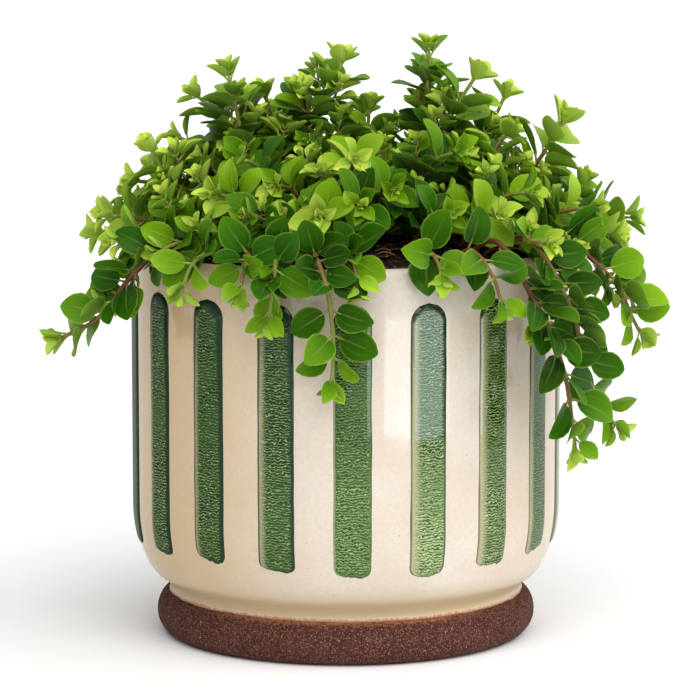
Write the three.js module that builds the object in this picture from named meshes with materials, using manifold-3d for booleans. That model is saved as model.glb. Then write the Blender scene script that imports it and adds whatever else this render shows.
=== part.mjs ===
// Potted peperomia: a round glazed pot with raised stripes, its soil, and leafy stems that arch over the rim.
// Millimetres, +Z up, -Y is the front. The origin is the middle of the foot's flat underside.
import * as THREE from "three";
import { mergeVertices } from "three/addons/utils/BufferGeometryUtils.js";
import Module from "manifold-3d";

const wasm = await Module();
wasm.setup();

// Pot
const BODY_RADIUS = 75;
const POT_HEIGHT = 136.6;
const POT_SIDES = 36;
const WALL = 5.5;
const FLOOR = 20;
const FOOT_RADIUS = 66.8;
const FOOT_HEIGHT = 15.6;
const WAIST_RADIUS = 62.5;
const BELLY_BASE = 20; // the belly curves out from here
const BELLY_TOP = 48; // and is upright from here
const FOOT_BULGE = 6.3; // the foot's edge is rounded over this width
const LIP_CORNERS = [[0.8, 3], [1.8, 0.4], [3.5, 0], [WALL, 3]]; // in from the wall, down from the rim
const STRIPES = 18;
const STRIPE_TURN = THREE.MathUtils.degToRad(1.8); // azimuth of the front stripe, from -Y toward +X
const STRIPE_WIDTH = 12.9;
const STRIPE_BOTTOM = 36;
const STRIPE_TOP = 125;
const STRIPE_RELIEF = 0.6;
const STRIPE_ROOT = 1.5; // a stripe reaches this far into the wall
const STRIPE_BLOCK = 15; // depth of the block that a stripe is cut from

// Soil
const SOIL_EDGE = 134.5;
const SOIL_CROWN = 141;
const CLEARANCE = 0.3; // between pieces that touch
const SHORT_EDGE = 0.01; // edges that a join leaves shorter than this are closed up
const HOLE_DEPTH = 6;
const HOLE_RADIUS = 1.9; // to the corners of its square
const HOLE_SIDES = 4;

// Stems and leaves
const STEM_RADIUS = 1;
const STEM_SIDES = 3;
const LEAF_LENGTH = 12.6;
const LEAF_THICKNESS = 1.1; // at the rib
const LEAF_ROOT = 0.3; // a blade starts this far from its stem's axis, well inside the stem
const LEAF_STALK = 0.18; // part of a leaf's length, beyond the stem's skin
const LEAF_WIDTH = 0.82; // part of its length
const YOUNG_WIDTH = 0.7;
const LEAF_CUP = 0.08; // rise of the margin, as a part of the width
const LEAF_OUTLINE = [[0.26, 0.46], [0.7, 0.44]]; // parts of the length along and of the width across
const YOUNG_OUTLINE = [[0.46, 0.5]];
const RIB_PEAK = 0.48; // the blade is thickest at this part of its length
const RIB_LIFT = 0.1;
const TIP_BACK = 5; // a stem ends this far short of its route, which its youngest leaves reach
const LEAF_SITES = [7.5, 14, 21.5, 30, 39, 48]; // distance of each leaf pair from the end of the route
const BARE_JOINTS = [57, 67, 78, 90]; // distance of the joints below the leaves
const LEAF_GROWTH = [0.68, 0.94, 1.05, 1.05, 1, 1]; // size of each pair, as a part of a full leaf
const YOUNG_SIZE = 0.78; // a leaf under this part of a full one is narrower and pointed
const BARE_FOOT = 8; // a stem's lowest stretch has no leaves
const GAP = 0.4; // least gap between two stems or leaves of different stems
const YOUNG_OPENING = 52; // degrees between a pair of the youngest leaves and a plane across the stem
const OPENING = 30;
const SHRINKS = [1, 0.84, 0.68]; // what a leaf tries, in turn, until it is clear of the others
const LIFTS = [0, 16, -16, 32];
const TURNS = [0, 18, -18, 36, -36];
const YOUNG_SITES = 2; // the upper pairs face their stem's tip more than the light
const TIP_PULL = { young: 0.7, grown: 0.2 };
const LIGHT_PULL = 0.15; // a leaf bends out toward the light, and more if it would point inward
const INWARD_PULL = 0.7;
const INWARD_LIMIT = 0.1;
const PAIR_TURN = 90; // degrees from one pair to the next
const STRAY_TURN = 24; // full range about that
const STRIDES = [0.94, 1.06]; // least and greatest spacing of a stem's joints, as a part of the usual
const VIGOURS = [0.9, 1.06]; // size of a whole stem's leaves
const SIZES = [0.92, 1.06]; // and of each leaf
const LIGHT_HEART = 85; // leaves turn their faces away from this height on the pot's axis
const GOLDEN_ANGLE = Math.PI * (3 - Math.sqrt(5));
const SEED = 20260;
const RULED_STEMS = 14; // stems placed by rule, at the back
const RULED_RISES = [12, 52, 30]; // degrees over the level, of the tips in turn
const RULED_REACH = 94; // of a tip from the heart, on the level
const RULED_CLIMB = 72; // of a tip from the heart, straight up
const RULED_HEART = 122;
const RULED_ROOTS = [22, 34]; // least reach of the roots from the axis, and what low stems add
const LEAN_RISE = 0.85; // a leaning stem has risen by this part at half of its reach
const RIM_PASS = 6.5; // and is at least this far over the rim there
const CURVE_STEPS = 60;
const FOOT_LIFT = 1.5; // a stem is upright from its hole's bottom to this height over the soil
const FOOT_REACH = 4; // no joint is nearer than this to its foot
const MOVES = 40; // steps of the spiral on which a stem looks for room

// Stems that stand up or hang: root on the soil, then the route over which the stem grows, ending at its tip.
const ROUTED_STEMS = [
  // upright stems over the crown
  { root: [-30, -2], route: [[-35, 0, 167], [-38, 2, 183], [-42, 2, 201]] },
  { root: [-38, 8], route: [[-34, 10, 155], [-44, 12, 180], [-56, 10, 191]] },
  { root: [-22, 16], route: [[-22, 18, 158], [-26, 20, 179], [-30, 18, 192]] },
  { root: [-6, 8], route: [[-16, 10, 173], [-6, 8, 189], [0, 6, 205]] },
  { root: [24, 14], route: [[30, 14, 165], [30, 14, 187], [29, 12, 209]] },
  { root: [26, 0], route: [[33, 2, 173], [41, 2, 189], [48, 0, 199]] },
  { root: [36, 20], route: [[44, 22, 165], [53, 22, 180], [58, 22, 192]] },
  { root: [38, 4], route: [[57, 4, 152], [70, 2, 170], [78, 0, 185]] },
  { root: [6, 30], route: [[5, 32, 160], [8, 34, 176], [8, 34, 187]] },
  { root: [-44, -10], route: [[-51, -10, 152], [-63, -14, 164], [-68, -16, 176]] },
  // stems that hang over the rim
  { root: [-50, -40], route: [[-60, -46, 142], [-72, -50, 132], [-84, -48, 117], [-101, -44, 108]] },
  { root: [-42, -52], route: [[-46, -60, 141], [-52, -66, 136], [-55, -68, 125]] },
  { root: [-34, -56], route: [[-32, -68, 141], [-34, -74, 135], [-35, -76, 125]] },
  { root: [-24, -58], route: [[-23, -72, 141], [-24, -80, 131], [-26, -81, 116]] },
  { root: [-10, -58], route: [[-10, -73, 141], [-6, -82, 131], [-4, -83, 113], [-5, -82, 95]] },
  { root: [2, -56], route: [[1, -72, 142], [3, -80, 137], [4, -82, 128]] },
  { root: [56, -22], route: [[71, -29, 144], [91, -34, 129], [98, -34, 116], [103, -34, 106]] },
  { root: [40, -44], route: [[51, -57, 144], [63, -66, 125], [73, -64, 102], [78, -62, 71]] },
  { root: [50, -34], route: [[62, -46, 144], [76, -54, 121], [82, -54, 97], [94, -52, 77]] },
  { root: [36, -52], route: [[42, -64, 142], [49, -73, 134], [53, -76, 120]] },
  { root: [24, -58], route: [[28, -70, 142], [31, -77, 138], [32, -80, 131]] },
];

// Stems of the mound, which rise and lean out toward the light: where each roots, and its tip.
const LEANING_STEMS = [
  { root: [2, -12], tip: [3, -46, 171] },
  { root: [8, -24], tip: [17, -54, 161] },
  { root: [-10, -18], tip: [-26, -46, 162] },
  { root: [-20, -12], tip: [-39, -34, 170] },
  { root: [-6, -38], tip: [-9, -71, 154] },
  { root: [22, -34], tip: [37, -60, 154] },
  { root: [32, -26], tip: [54, -54, 153] },
  { root: [55, -18], tip: [89, -28, 153] },
  { root: [-4, 0], tip: [-14, -20, 175] },
  { root: [18, -10], tip: [42, -30, 172] },
  { root: [-26, -26], tip: [-47, -46, 159] },
  { root: [-44, -4], tip: [-77, -14, 161] },
  { root: [-54, -14], tip: [-86, -26, 150] },
  { root: [-52, -28], tip: [-80, -48, 143] },
  { root: [-20, -36], tip: [-35, -62, 153] },
  { root: [40, -18], tip: [66, -36, 159] },
  { root: [-44, -36], tip: [-65, -60, 140] },
  { root: [48, -34], tip: [72, -56, 143] },
  { root: [4, -34], tip: [5, -66, 157] },
  { root: [60, -12], tip: [96, -22, 142] },
  { root: [58, 2], tip: [103, -2, 147] },
];

// ---------- vectors ----------

const add = (a, b) => [a[0] + b[0], a[1] + b[1], a[2] + b[2]];
const subtract = (a, b) => [a[0] - b[0], a[1] - b[1], a[2] - b[2]];
const scale = (a, k) => [a[0] * k, a[1] * k, a[2] * k];
const dot = (a, b) => a[0] * b[0] + a[1] * b[1] + a[2] * b[2];
const cross = (a, b) => [a[1] * b[2] - a[2] * b[1], a[2] * b[0] - a[0] * b[2], a[0] * b[1] - a[1] * b[0]];
const length = (a) => Math.sqrt(dot(a, a));
const unit = (a) => scale(a, 1 / length(a));
const squareTo = (a, axis) => unit(subtract(a, scale(axis, dot(a, axis))));
const radians = THREE.MathUtils.degToRad;

/** A fixed draw from 0 to 1 for one item of one stem. */
function draw(stem, item, channel) {
  let bits = Math.imul((stem * 7919) ^ (item * 104729) ^ (channel * 1299709) ^ SEED, 0x9e3779b1);
  bits = Math.imul(bits ^ (bits >>> 15), 0x85ebca6b);
  bits ^= bits >>> 13;
  return (bits >>> 0) / 2 ** 32;
}

/** A fixed draw from one number to another. */
function drawBetween([from, to], stem, item, channel) {
  return from + (to - from) * draw(stem, item, channel);
}

// ---------- solids ----------

/** A closed geometry as a solid that can be joined and cut. */
function solidOf(geometry) {
  const bare = geometry.clone();
  bare.deleteAttribute("normal");
  bare.deleteAttribute("uv");
  const merged = mergeVertices(bare, 1e-4);
  const corners = merged.index.array;
  const triangles = [];
  for (let i = 0; i < corners.length; i += 3) {
    const [a, b, c] = [corners[i], corners[i + 1], corners[i + 2]];
    if (a !== b && b !== c && c !== a) triangles.push(a, b, c);
  }
  const mesh = new wasm.Mesh({
    numProp: 3,
    vertProperties: new Float32Array(merged.attributes.position.array),
    triVerts: new Uint32Array(triangles),
  });
  return new wasm.Manifold(mesh);
}

/** Triangles once the shortest edges are closed up, and faces that this folds back to back are gone. */
function withoutShortEdges(positions, corners) {
  const merged = Array.from({ length: positions.length / 3 }, (_, i) => i);
  const kept = (i) => (merged[i] === i ? i : kept(merged[i]));
  const place = (i) => [positions[3 * i], positions[3 * i + 1], positions[3 * i + 2]];
  const sides = [];
  for (let i = 0; i < corners.length; i += 3) {
    const [a, b, c] = corners.slice(i, i + 3);
    sides.push([a, b], [b, c], [c, a]);
  }
  for (const [a, b] of sides) {
    if (length(subtract(place(a), place(b))) < SHORT_EDGE) merged[kept(b)] = kept(a);
  }
  const faces = new Map();
  for (let i = 0; i < corners.length; i += 3) {
    const face = [...corners.slice(i, i + 3)].map(kept);
    if (new Set(face).size < 3) continue;
    const key = [...face].sort((a, b) => a - b).join();
    if (faces.has(key)) faces.delete(key);
    else faces.set(key, face);
  }
  return [...faces.values()].flat();
}

/** A named mesh of a solid, in its material. */
function meshOf(name, solid, material) {
  const { vertProperties, triVerts } = solid.getMesh();
  const geometry = new THREE.BufferGeometry();
  geometry.setAttribute("position", new THREE.BufferAttribute(new Float32Array(vertProperties), 3));
  geometry.setIndex(withoutShortEdges(vertProperties, triVerts));
  geometry.computeVertexNormals();
  const mesh = new THREE.Mesh(geometry, material);
  mesh.name = name;
  return mesh;
}

/** An outline of [radius, z] points, turned round the pot's axis, with one facet centred on each stripe. */
function turned(outline) {
  const points = outline.map(([radius, z]) => new THREE.Vector2(radius, z));
  const halfFacet = Math.PI / POT_SIDES;
  const geometry = new THREE.LatheGeometry(points, POT_SIDES, STRIPE_TURN - halfFacet, 2 * Math.PI);
  return solidOf(geometry.rotateX(Math.PI / 2));
}

// ---------- pot ----------

/** Points of an elliptic arc, from one angle to another in degrees. */
function arc(centre, radii, from, to, steps) {
  return Array.from({ length: steps + 1 }, (_, i) => {
    const angle = radians(from + ((to - from) * i) / steps);
    return [centre[0] + radii[0] * Math.cos(angle), centre[1] + radii[1] * Math.sin(angle)];
  });
}

/** One corner of the lip, counted from the wall's outside. */
function lipCorner(place) {
  const [inward, down] = LIP_CORNERS[place];
  return [BODY_RADIUS - inward, POT_HEIGHT - down];
}

/** The glazed wall's outside, from the waist up to the lip, moved out by an offset. */
function wallOutline(offset) {
  const bulge = BODY_RADIUS - WAIST_RADIUS;
  const belly = arc([WAIST_RADIUS, BELLY_TOP], [bulge, BELLY_TOP - BELLY_BASE], -80, 0, 4);
  return [...belly, lipCorner(0)].map(([radius, z]) => [radius + offset, z]);
}

function pot() {
  const half = FOOT_HEIGHT / 2;
  const footRound = arc([FOOT_RADIUS - FOOT_BULGE, half], [FOOT_BULGE, half], -90, 70, 3);
  const lip = [1, 2, 3].map(lipCorner);
  const bowl = [[BODY_RADIUS - WALL, BELLY_TOP], [WAIST_RADIUS - WALL, FLOOR], [0, FLOOR]];
  const body = turned([[0, 0], ...footRound, ...wallOutline(0), ...lip, ...bowl]);
  return body.add(stripes());
}

/** The stripes: arched outlines cut from a skin that follows the wall. */
function stripes() {
  const outer = wallOutline(STRIPE_RELIEF);
  const inner = wallOutline(-STRIPE_ROOT).reverse();
  const skin = turned([...outer, ...inner, outer[0]]);
  const half = STRIPE_WIDTH / 2;
  const outline = new THREE.Shape();
  outline.moveTo(-half, STRIPE_BOTTOM);
  outline.lineTo(half, STRIPE_BOTTOM);
  outline.absarc(0, STRIPE_TOP - half, half, 0, Math.PI, false);
  outline.closePath();
  const options = { depth: STRIPE_BLOCK, bevelEnabled: false, curveSegments: 2 };
  const block = new THREE.ExtrudeGeometry(outline, options);
  block.rotateX(Math.PI / 2).translate(0, STRIPE_BLOCK / 2 - BODY_RADIUS, 0);
  const blocks = Array.from({ length: STRIPES }, (_, i) => {
    return solidOf(block.clone().rotateZ(STRIPE_TURN + (2 * Math.PI * i) / STRIPES));
  });
  return wasm.Manifold.union(blocks).intersect(skin);
}

// ---------- soil ----------

const soilRadius = BODY_RADIUS - WALL - CLEARANCE;

function soilHeight(x, y) {
  const reach = Math.hypot(x, y) / soilRadius;
  return SOIL_CROWN - (SOIL_CROWN - SOIL_EDGE) * reach * reach;
}

/** The soil fills the pot, with a plain square hole for each stem. */
function soil(stems) {
  const floorRadius = WAIST_RADIUS - WALL - CLEARANCE;
  const bed = [[0, FLOOR + CLEARANCE], [floorRadius, FLOOR + CLEARANCE], [soilRadius, BELLY_TOP]];
  const rings = [1, 0.5].map((part) => [soilRadius * part, soilHeight(soilRadius * part, 0)]);
  const body = turned([...bed, ...rings, [0, SOIL_CROWN]]);
  const holes = stems.map(({ root }) => {
    const hole = new THREE.CylinderGeometry(HOLE_RADIUS, HOLE_RADIUS, 2 * HOLE_DEPTH, HOLE_SIDES);
    hole.rotateX(Math.PI / 2).translate(root[0], root[1], soilHeight(root[0], root[1]));
    return solidOf(hole);
  });
  return body.subtract(wasm.Manifold.union(holes));
}

// ---------- where stems run ----------

/** A leaning stem with its route: it has risen most of the way at half of its reach. */
function leaningStem({ root, tip }) {
  const [x, y] = [(root[0] + tip[0]) / 2, (root[1] + tip[1]) / 2];
  const ground = soilHeight(x, y);
  const middle = [x, y, Math.max(POT_HEIGHT + RIM_PASS, ground + LEAN_RISE * (tip[2] - ground))];
  return { root, route: [middle, tip] };
}

/** Stems placed by rule over the back of the mound, some high and some out over the rim. */
function backStems() {
  return Array.from({ length: RULED_STEMS }, (_, i) => {
    const id = ROUTED_STEMS.length + LEANING_STEMS.length + i;
    const side = -100 + (200 * (i + 0.5)) / RULED_STEMS + 8 * (draw(id, 0, 0) - 0.5);
    const azimuth = radians(side);
    const rise = radians(RULED_RISES[i % 3] + 10 * (draw(id, 0, 1) - 0.5));
    const spread = RULED_REACH * Math.cos(rise);
    const start = RULED_ROOTS[0] + RULED_ROOTS[1] * Math.cos(rise);
    const way = [Math.sin(azimuth), Math.cos(azimuth)];
    const tip = [spread * way[0], spread * way[1], RULED_HEART + RULED_CLIMB * Math.sin(rise)];
    return leaningStem({ root: [start * way[0], start * way[1]], tip });
  });
}

/** The joints of a stem, from its tip down to its root, one at each leaf pair. */
function stemJoints({ root, route }, id) {
  const ground = soilHeight(root[0], root[1]);
  const foot = [root[0], root[1], ground + FOOT_LIFT];
  const points = [foot, ...route].map((point) => new THREE.Vector3(...point));
  const curve = new THREE.CatmullRomCurve3(points, false, "catmullrom", 0.5);
  const places = Array.from({ length: CURVE_STEPS + 1 }, (_, i) => 1 - i / CURVE_STEPS);
  const samples = places.map((place) => curve.getPoint(place).toArray());
  const joints = [];
  const stride = drawBetween(STRIDES, id, 0, 2);
  const stops = [TIP_BACK, ...LEAF_SITES, ...BARE_JOINTS];
  let walked = 0;
  let next = 0;
  for (let i = 1; i <= CURVE_STEPS; i++) {
    const span = subtract(samples[i], samples[i - 1]);
    const stepLength = length(span);
    while (next < stops.length && stops[next] * stride <= walked + stepLength) {
      const part = (stops[next] * stride - walked) / stepLength;
      joints.push(add(samples[i - 1], scale(span, part)));
      next += 1;
    }
    walked += stepLength;
  }
  const clearOfFoot = joints.filter((joint) => length(subtract(joint, foot)) > FOOT_REACH);
  const bottom = [root[0], root[1], ground - HOLE_DEPTH + CLEARANCE];
  return [...clearOfFoot, foot, bottom];
}

/** A stem with its joints, moved aside by small steps round a spiral until it is clear of what is placed. */
function growStem(stem, id, placed) {
  for (let step = 0; step < MOVES; step++) {
    const turn = step * GOLDEN_ANGLE;
    const shift = [Math.sqrt(step) * Math.cos(turn), Math.sqrt(step) * Math.sin(turn), 0];
    const root = add([...stem.root, 0], shift).slice(0, 2);
    const route = stem.route.map((point) => add(point, shift));
    const joints = stemJoints({ root, route }, id);
    const spans = joints.slice(1).map((joint, i) => bodyOf([joints[i], joint], STEM_RADIUS, id, -1));
    const aboveSoil = joints.slice(0, -2).every((joint) => pointIsClear(joint, STEM_RADIUS));
    if (aboveSoil && spans.every((span) => isClearOf(span, placed))) {
      placed.push(...spans);
      return { root, route, id, joints };
    }
  }
  throw new Error(`stem ${id + 1} finds no room`);
}

// ---------- where leaves grow ----------

/** The corners of a leaf, thick at its rib and thin at its margin: base, left, tip, right, top, underside. */
function leafCorners(base, along, normal, size) {
  const side = cross(normal, along);
  const long = LEAF_LENGTH * size;
  const grown = size > YOUNG_SIZE;
  const wide = long * (grown ? LEAF_WIDTH : YOUNG_WIDTH);
  const stalk = LEAF_STALK * long + STEM_RADIUS;
  const at = (reach, across, lift) => {
    return add(base, add(scale(along, reach), add(scale(side, across), scale(normal, lift))));
  };
  const cup = LEAF_CUP * wide;
  const peak = stalk + RIB_PEAK * long;
  const [root, tip] = [at(LEAF_ROOT, 0, 0), at(stalk + long, 0, 0)];
  const faces = [at(peak, 0, RIB_LIFT), at(peak, 0, RIB_LIFT - LEAF_THICKNESS)];
  const edge = (hand) => {
    const stops = grown ? LEAF_OUTLINE : YOUNG_OUTLINE;
    return stops.map(([reach, across]) => at(stalk + reach * long, hand * across * wide, cup));
  };
  return [root, ...edge(1), tip, ...edge(-1).reverse(), ...faces];
}

/** Whether two convex bodies lie a gap apart: a line between them is turned until it shows that they do. */
function apart(one, other, gap) {
  const reach = one.skin + other.skin + gap;
  let line = subtract(one.points[0], other.points[0]);
  for (let turn = 0; turn < 20; turn++) {
    const far = length(line);
    if (far < 1e-6) return false;
    let low = Infinity;
    let nearOne;
    for (const point of one.points) {
      const depth = dot(point, line);
      if (depth < low) [low, nearOne] = [depth, point];
    }
    let high = -Infinity;
    let nearOther;
    for (const point of other.points) {
      const depth = dot(point, line);
      if (depth > high) [high, nearOther] = [depth, point];
    }
    if (low - high >= reach * far) return true;
    const move = subtract(subtract(nearOne, nearOther), line);
    const size = dot(move, move);
    if (size < 1e-12) return false;
    const part = Math.min(1, -dot(line, move) / size);
    if (part <= 0) return false;
    line = add(line, scale(move, part));
  }
  return false;
}

/** A convex body for the clearance test, with the ball that holds it. */
function bodyOf(points, skin, stem, site) {
  const centre = scale(points.reduce(add), 1 / points.length);
  const ball = Math.max(...points.map((point) => length(subtract(point, centre)))) + skin;
  return { points, skin, stem, site, centre, ball };
}

/** The top of the pot's wall as flat blocks, one to a facet. */
function rimBodies() {
  const skin = WALL / 2;
  const reach = BODY_RADIUS - skin;
  const heights = [POT_HEIGHT - skin, POT_HEIGHT - 5 * skin];
  return Array.from({ length: POT_SIDES }, (_, i) => {
    const corners = [i - 0.5, i + 0.5].flatMap((turn) => {
      const azimuth = STRIPE_TURN + (2 * Math.PI * turn) / POT_SIDES;
      const [x, y] = [reach * Math.sin(azimuth), -reach * Math.cos(azimuth)];
      return heights.map((height) => [x, y, height]);
    });
    return bodyOf(corners, skin, -1, -1);
  });
}

/** Whether a point of a leaf or stem is clear of the pot and the soil. */
function pointIsClear([x, y, z], skin) {
  const reach = Math.hypot(x, y);
  const margin = skin + GAP;
  if (reach > BODY_RADIUS + STRIPE_RELIEF + margin || z > POT_HEIGHT + margin) return true;
  return reach < soilRadius - margin && z > soilHeight(x, y) + margin;
}

/** Whether a body is clear of the others, apart from its own stem and its pair. */
function isClearOf(body, others) {
  return others.every((other) => {
    if (other.stem === body.stem && (other.site === body.site || other.site < 0)) return true;
    const far = length(subtract(other.centre, body.centre));
    return far > other.ball + body.ball + GAP || apart(body, other, GAP);
  });
}

/** Whether a body is clear of the pot, the soil and the others. */
function bodyIsClear(body, others) {
  return body.points.every((point) => pointIsClear(point, body.skin)) && isClearOf(body, others);
}

/** The way that a leaf turns its face: up and out from the heart of the plant. */
function lightAt(point) {
  return unit([point[0], point[1], point[2] - LIGHT_HEART]);
}

/** One leaf at a joint, turned and shrunk until it is clear of all that is placed, or none. */
function placeLeaf(joint, stemWay, across, angle, size, stem, site, placed) {
  const over = cross(stemWay, across);
  const light = lightAt(joint);
  const open = site === 0 ? YOUNG_OPENING : OPENING;
  const pull = site < YOUNG_SITES ? TIP_PULL.young : TIP_PULL.grown;
  for (const shrink of SHRINKS) {
    for (const lift of LIFTS) {
      for (const turn of TURNS) {
        const azimuth = angle + radians(turn);
        const rise = radians(open + lift);
        const out = add(scale(across, Math.cos(azimuth)), scale(over, Math.sin(azimuth)));
        const way = add(scale(out, Math.cos(rise)), scale(stemWay, Math.sin(rise)));
        const inward = Math.max(0, INWARD_LIMIT - dot(way, light));
        const along = unit(add(way, scale(light, LIGHT_PULL + INWARD_PULL * inward)));
        const face = add(light, scale(stemWay, pull));
        const normal = squareTo(face, along);
        const corners = leafCorners(joint, along, normal, size * shrink);
        const body = bodyOf(corners, 0, stem, site);
        if (bodyIsClear(body, placed)) {
          placed.push(body);
          return corners;
        }
      }
    }
  }
  return null;
}

/** The leaves of one stem, as a list of their corners. */
function growLeaves(stem, placed) {
  const { joints, id, root, route } = stem;
  const tip = route.at(-1);
  const across = unit(cross([0, 0, 1], [tip[0] - root[0] + 0.01, tip[1] - root[1] + 0.02, 0]));
  const vigour = drawBetween(VIGOURS, id, 1, 3);
  const start = 360 * draw(id, 1, 4);
  const leaves = [];
  for (let site = 0; site < Math.min(LEAF_SITES.length, joints.length - 3); site++) {
    const joint = joints[site + 1];
    if (length(subtract(joint, joints.at(-2))) < BARE_FOOT) break;
    const stemWay = unit(subtract(joints[site], joints[site + 2]));
    const level = squareTo(across, stemWay);
    for (const half of [0, 1]) {
      const stray = STRAY_TURN * (draw(id, site, 5 + half) - 0.5);
      const angle = radians(start + PAIR_TURN * site + 180 * half + stray);
      const size = vigour * LEAF_GROWTH[site] * drawBetween(SIZES, id, site, 7 + half);
      const leaf = placeLeaf(joint, stemWay, level, angle, size, id, site, placed);
      if (leaf) leaves.push(leaf);
    }
  }
  return leaves;
}

// ---------- solids of stems and leaves ----------

/** A path that runs straight from joint to joint. */
class JointedPath extends THREE.Curve {
  constructor(joints) {
    super();
    this.joints = joints.map((joint) => new THREE.Vector3(...joint));
  }

  getPoint(t, target = new THREE.Vector3()) {
    const place = Math.min(t * (this.joints.length - 1), this.joints.length - 1.000001);
    const first = Math.max(0, Math.floor(place));
    return target.lerpVectors(this.joints[first], this.joints[first + 1], place - first);
  }

  getUtoTmapping(u) {
    return u;
  }
}

function stemSolid(joints) {
  const section = new THREE.Shape(
    Array.from({ length: STEM_SIDES }, (_, i) => {
      const angle = (2 * Math.PI * i) / STEM_SIDES;
      return new THREE.Vector2(STEM_RADIUS * Math.cos(angle), STEM_RADIUS * Math.sin(angle));
    }),
  );
  const path = new JointedPath(joints);
  const options = { extrudePath: path, steps: joints.length - 1, bevelEnabled: false };
  return solidOf(new THREE.ExtrudeGeometry(section, options));
}

/** A leaf as a closed blade: a fan of triangles from its top, and one from its underside, to its margin. */
function leafSolid(corners) {
  const margin = corners.length - 2;
  const triangles = [];
  for (let i = 0; i < margin; i++) {
    const next = (i + 1) % margin;
    triangles.push(margin, next, i, margin + 1, i, next);
  }
  const geometry = new THREE.BufferGeometry();
  geometry.setAttribute("position", new THREE.Float32BufferAttribute(corners.flat(), 3));
  geometry.setIndex(triangles);
  return solidOf(geometry);
}

// ---------- the plant in its pot ----------

const materials = {
  glaze: new THREE.MeshStandardMaterial({ color: "#ddd0b8", roughness: 0.25, metalness: 0 }),
  soil: new THREE.MeshStandardMaterial({ color: "#33231a", roughness: 1, metalness: 0 }),
  leaf: new THREE.MeshStandardMaterial({ color: "#4f8a28", roughness: 0.45, metalness: 0 }),
};

const placed = rimBodies();
const planned = [...ROUTED_STEMS, ...LEANING_STEMS.map(leaningStem), ...backStems()];
const stems = planned.map((stem, id) => growStem(stem, id, placed));

const group = new THREE.Group();
group.add(meshOf("pot", pot(), materials.glaze));
group.add(meshOf("soil", soil(stems), materials.soil));
for (const stem of stems) {
  const leaves = growLeaves(stem, placed).map(leafSolid);
  const name = `leafy_stem_${String(stem.id + 1).padStart(2, "0")}`;
  group.add(meshOf(name, wasm.Manifold.union([stemSolid(stem.joints), ...leaves]), materials.leaf));
}

export default group;
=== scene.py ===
"""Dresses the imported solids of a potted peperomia: striped pot, soil, leafy stems and studio."""

import math
from functools import partial
from itertools import product

import bmesh
import bpy
from bpy.props import FloatProperty, FloatVectorProperty, IntProperty, PointerProperty
from bpy.types import Operator, Panel, PropertyGroup
from mathutils import Matrix, Vector, noise


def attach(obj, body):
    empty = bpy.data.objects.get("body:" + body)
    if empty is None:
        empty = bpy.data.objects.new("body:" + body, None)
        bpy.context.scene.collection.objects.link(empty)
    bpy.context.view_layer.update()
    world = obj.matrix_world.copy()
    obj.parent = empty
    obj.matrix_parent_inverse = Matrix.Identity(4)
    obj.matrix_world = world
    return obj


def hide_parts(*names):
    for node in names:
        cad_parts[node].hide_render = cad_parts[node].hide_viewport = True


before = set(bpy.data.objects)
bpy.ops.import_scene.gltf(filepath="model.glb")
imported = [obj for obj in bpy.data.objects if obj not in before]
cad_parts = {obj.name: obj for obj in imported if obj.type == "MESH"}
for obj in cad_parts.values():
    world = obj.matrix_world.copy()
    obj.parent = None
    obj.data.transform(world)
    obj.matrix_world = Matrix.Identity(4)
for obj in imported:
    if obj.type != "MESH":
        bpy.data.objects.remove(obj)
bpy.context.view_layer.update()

bl_info = {
    "name": "Potted Peperomia",
    "version": (1, 0, 0),
    "blender": (4, 5, 0),
    "location": "View3D > Sidebar > Peperomia",
    "description": "A striped stoneware pot of peperomia, dressed over its packed solids",
    "category": "Add Mesh",
}

MM = 0.001  # shapes are worked out in millimetres and kept in metres
NEAR = 1e-4  # points closer than this are one point

# Pot. A line of (radius, height) points is spun round its axis.
BODY_RADIUS = 75
POT_HEIGHT = 136.6
POT_SIDES = 36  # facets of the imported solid
WALL = 5.5
FLOOR = 20
WAIST_RADIUS = 62.5
BELLY_BASE = 20
BELLY_TOP = 48
BOWL_CORNER = (4, 3)  # how the bowl's floor turns up into its side
BOWL_HEIGHTS = (BELLY_TOP, 90, 128)
LIP_RADIUS = 2.6  # the rolled rim
LIP_CENTRE = (72.1, POT_HEIGHT - LIP_RADIUS)
UNDER_LIP = [(74.75, 132), (74.85, 128), (74.95, 122)]
WALL_HEIGHTS = range(114, 49, -8)
NECK = [(63.7, 19.3), (62.9, 18.3), (62.45, 17.4), (62.3, 16.7), (62.35, 16.1)]
GLAZE_EDGE = [(62.55, 15.6), (62.6, 15.35), (62.5, 15.1), (62.2, 14.9)]  # the roll where it ends
EDGE_BOUNDS = (62, 15.7)  # it is wavy outside this radius and under this height
EDGE_WAVES = [(0.35, 5), (0.25, 1.6)]  # height and spread
FOOT_HEIGHT = 15.6
FOOT_CORE = 60.5  # the foot's edge is rounded about this radius
FOOT_BULGE = 6.3
CORE_RADIUS = 58  # body and foot meet out of sight inside this radius
FOOT_HOLLOW = [(0, 1.4), (50, 1.4), (51.5, 0.2), (53, 0)]
FOOT_TOP = [(61, 15.7), (CORE_RADIUS, 14.6), (0, 14.6)]
FOOT_SIDE = (60, 1, 12)  # it is uneven outside this radius, between these heights
FOOT_WAVE = (0.25, 14)
SPIN_STEPS = 144
STRIPES = 18
STRIPE_TURN = math.radians(1.8)  # azimuth of the front stripe, from -Y toward +X
STRIPE_WIDTH = 12.9
STRIPE_BOTTOM = 34
STRIPE_TOP = 125
STRIPE_RELIEF = 0.6
STRIPE_BEDDING = 0.08  # how far its face is sunk, where it meets the wall
STRIPE_DEPTH = 1.2  # how far its back lies behind its face
STRIPE_FEET = {0: -1.4, 1: -2, 2: -0.6, 17: 0.2, 16: 1.2}  # how much higher some end, in front
STRIPE_FOLDS = {0: 0.42, 1: 0.6, 2: 0.8, 3: 0.6, 17: 1.1, 16: 1.4, 15: 1.5}  # depth of wrinkles
STRIPE_COLUMNS = 22
STRIPE_ROWS = 110

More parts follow.
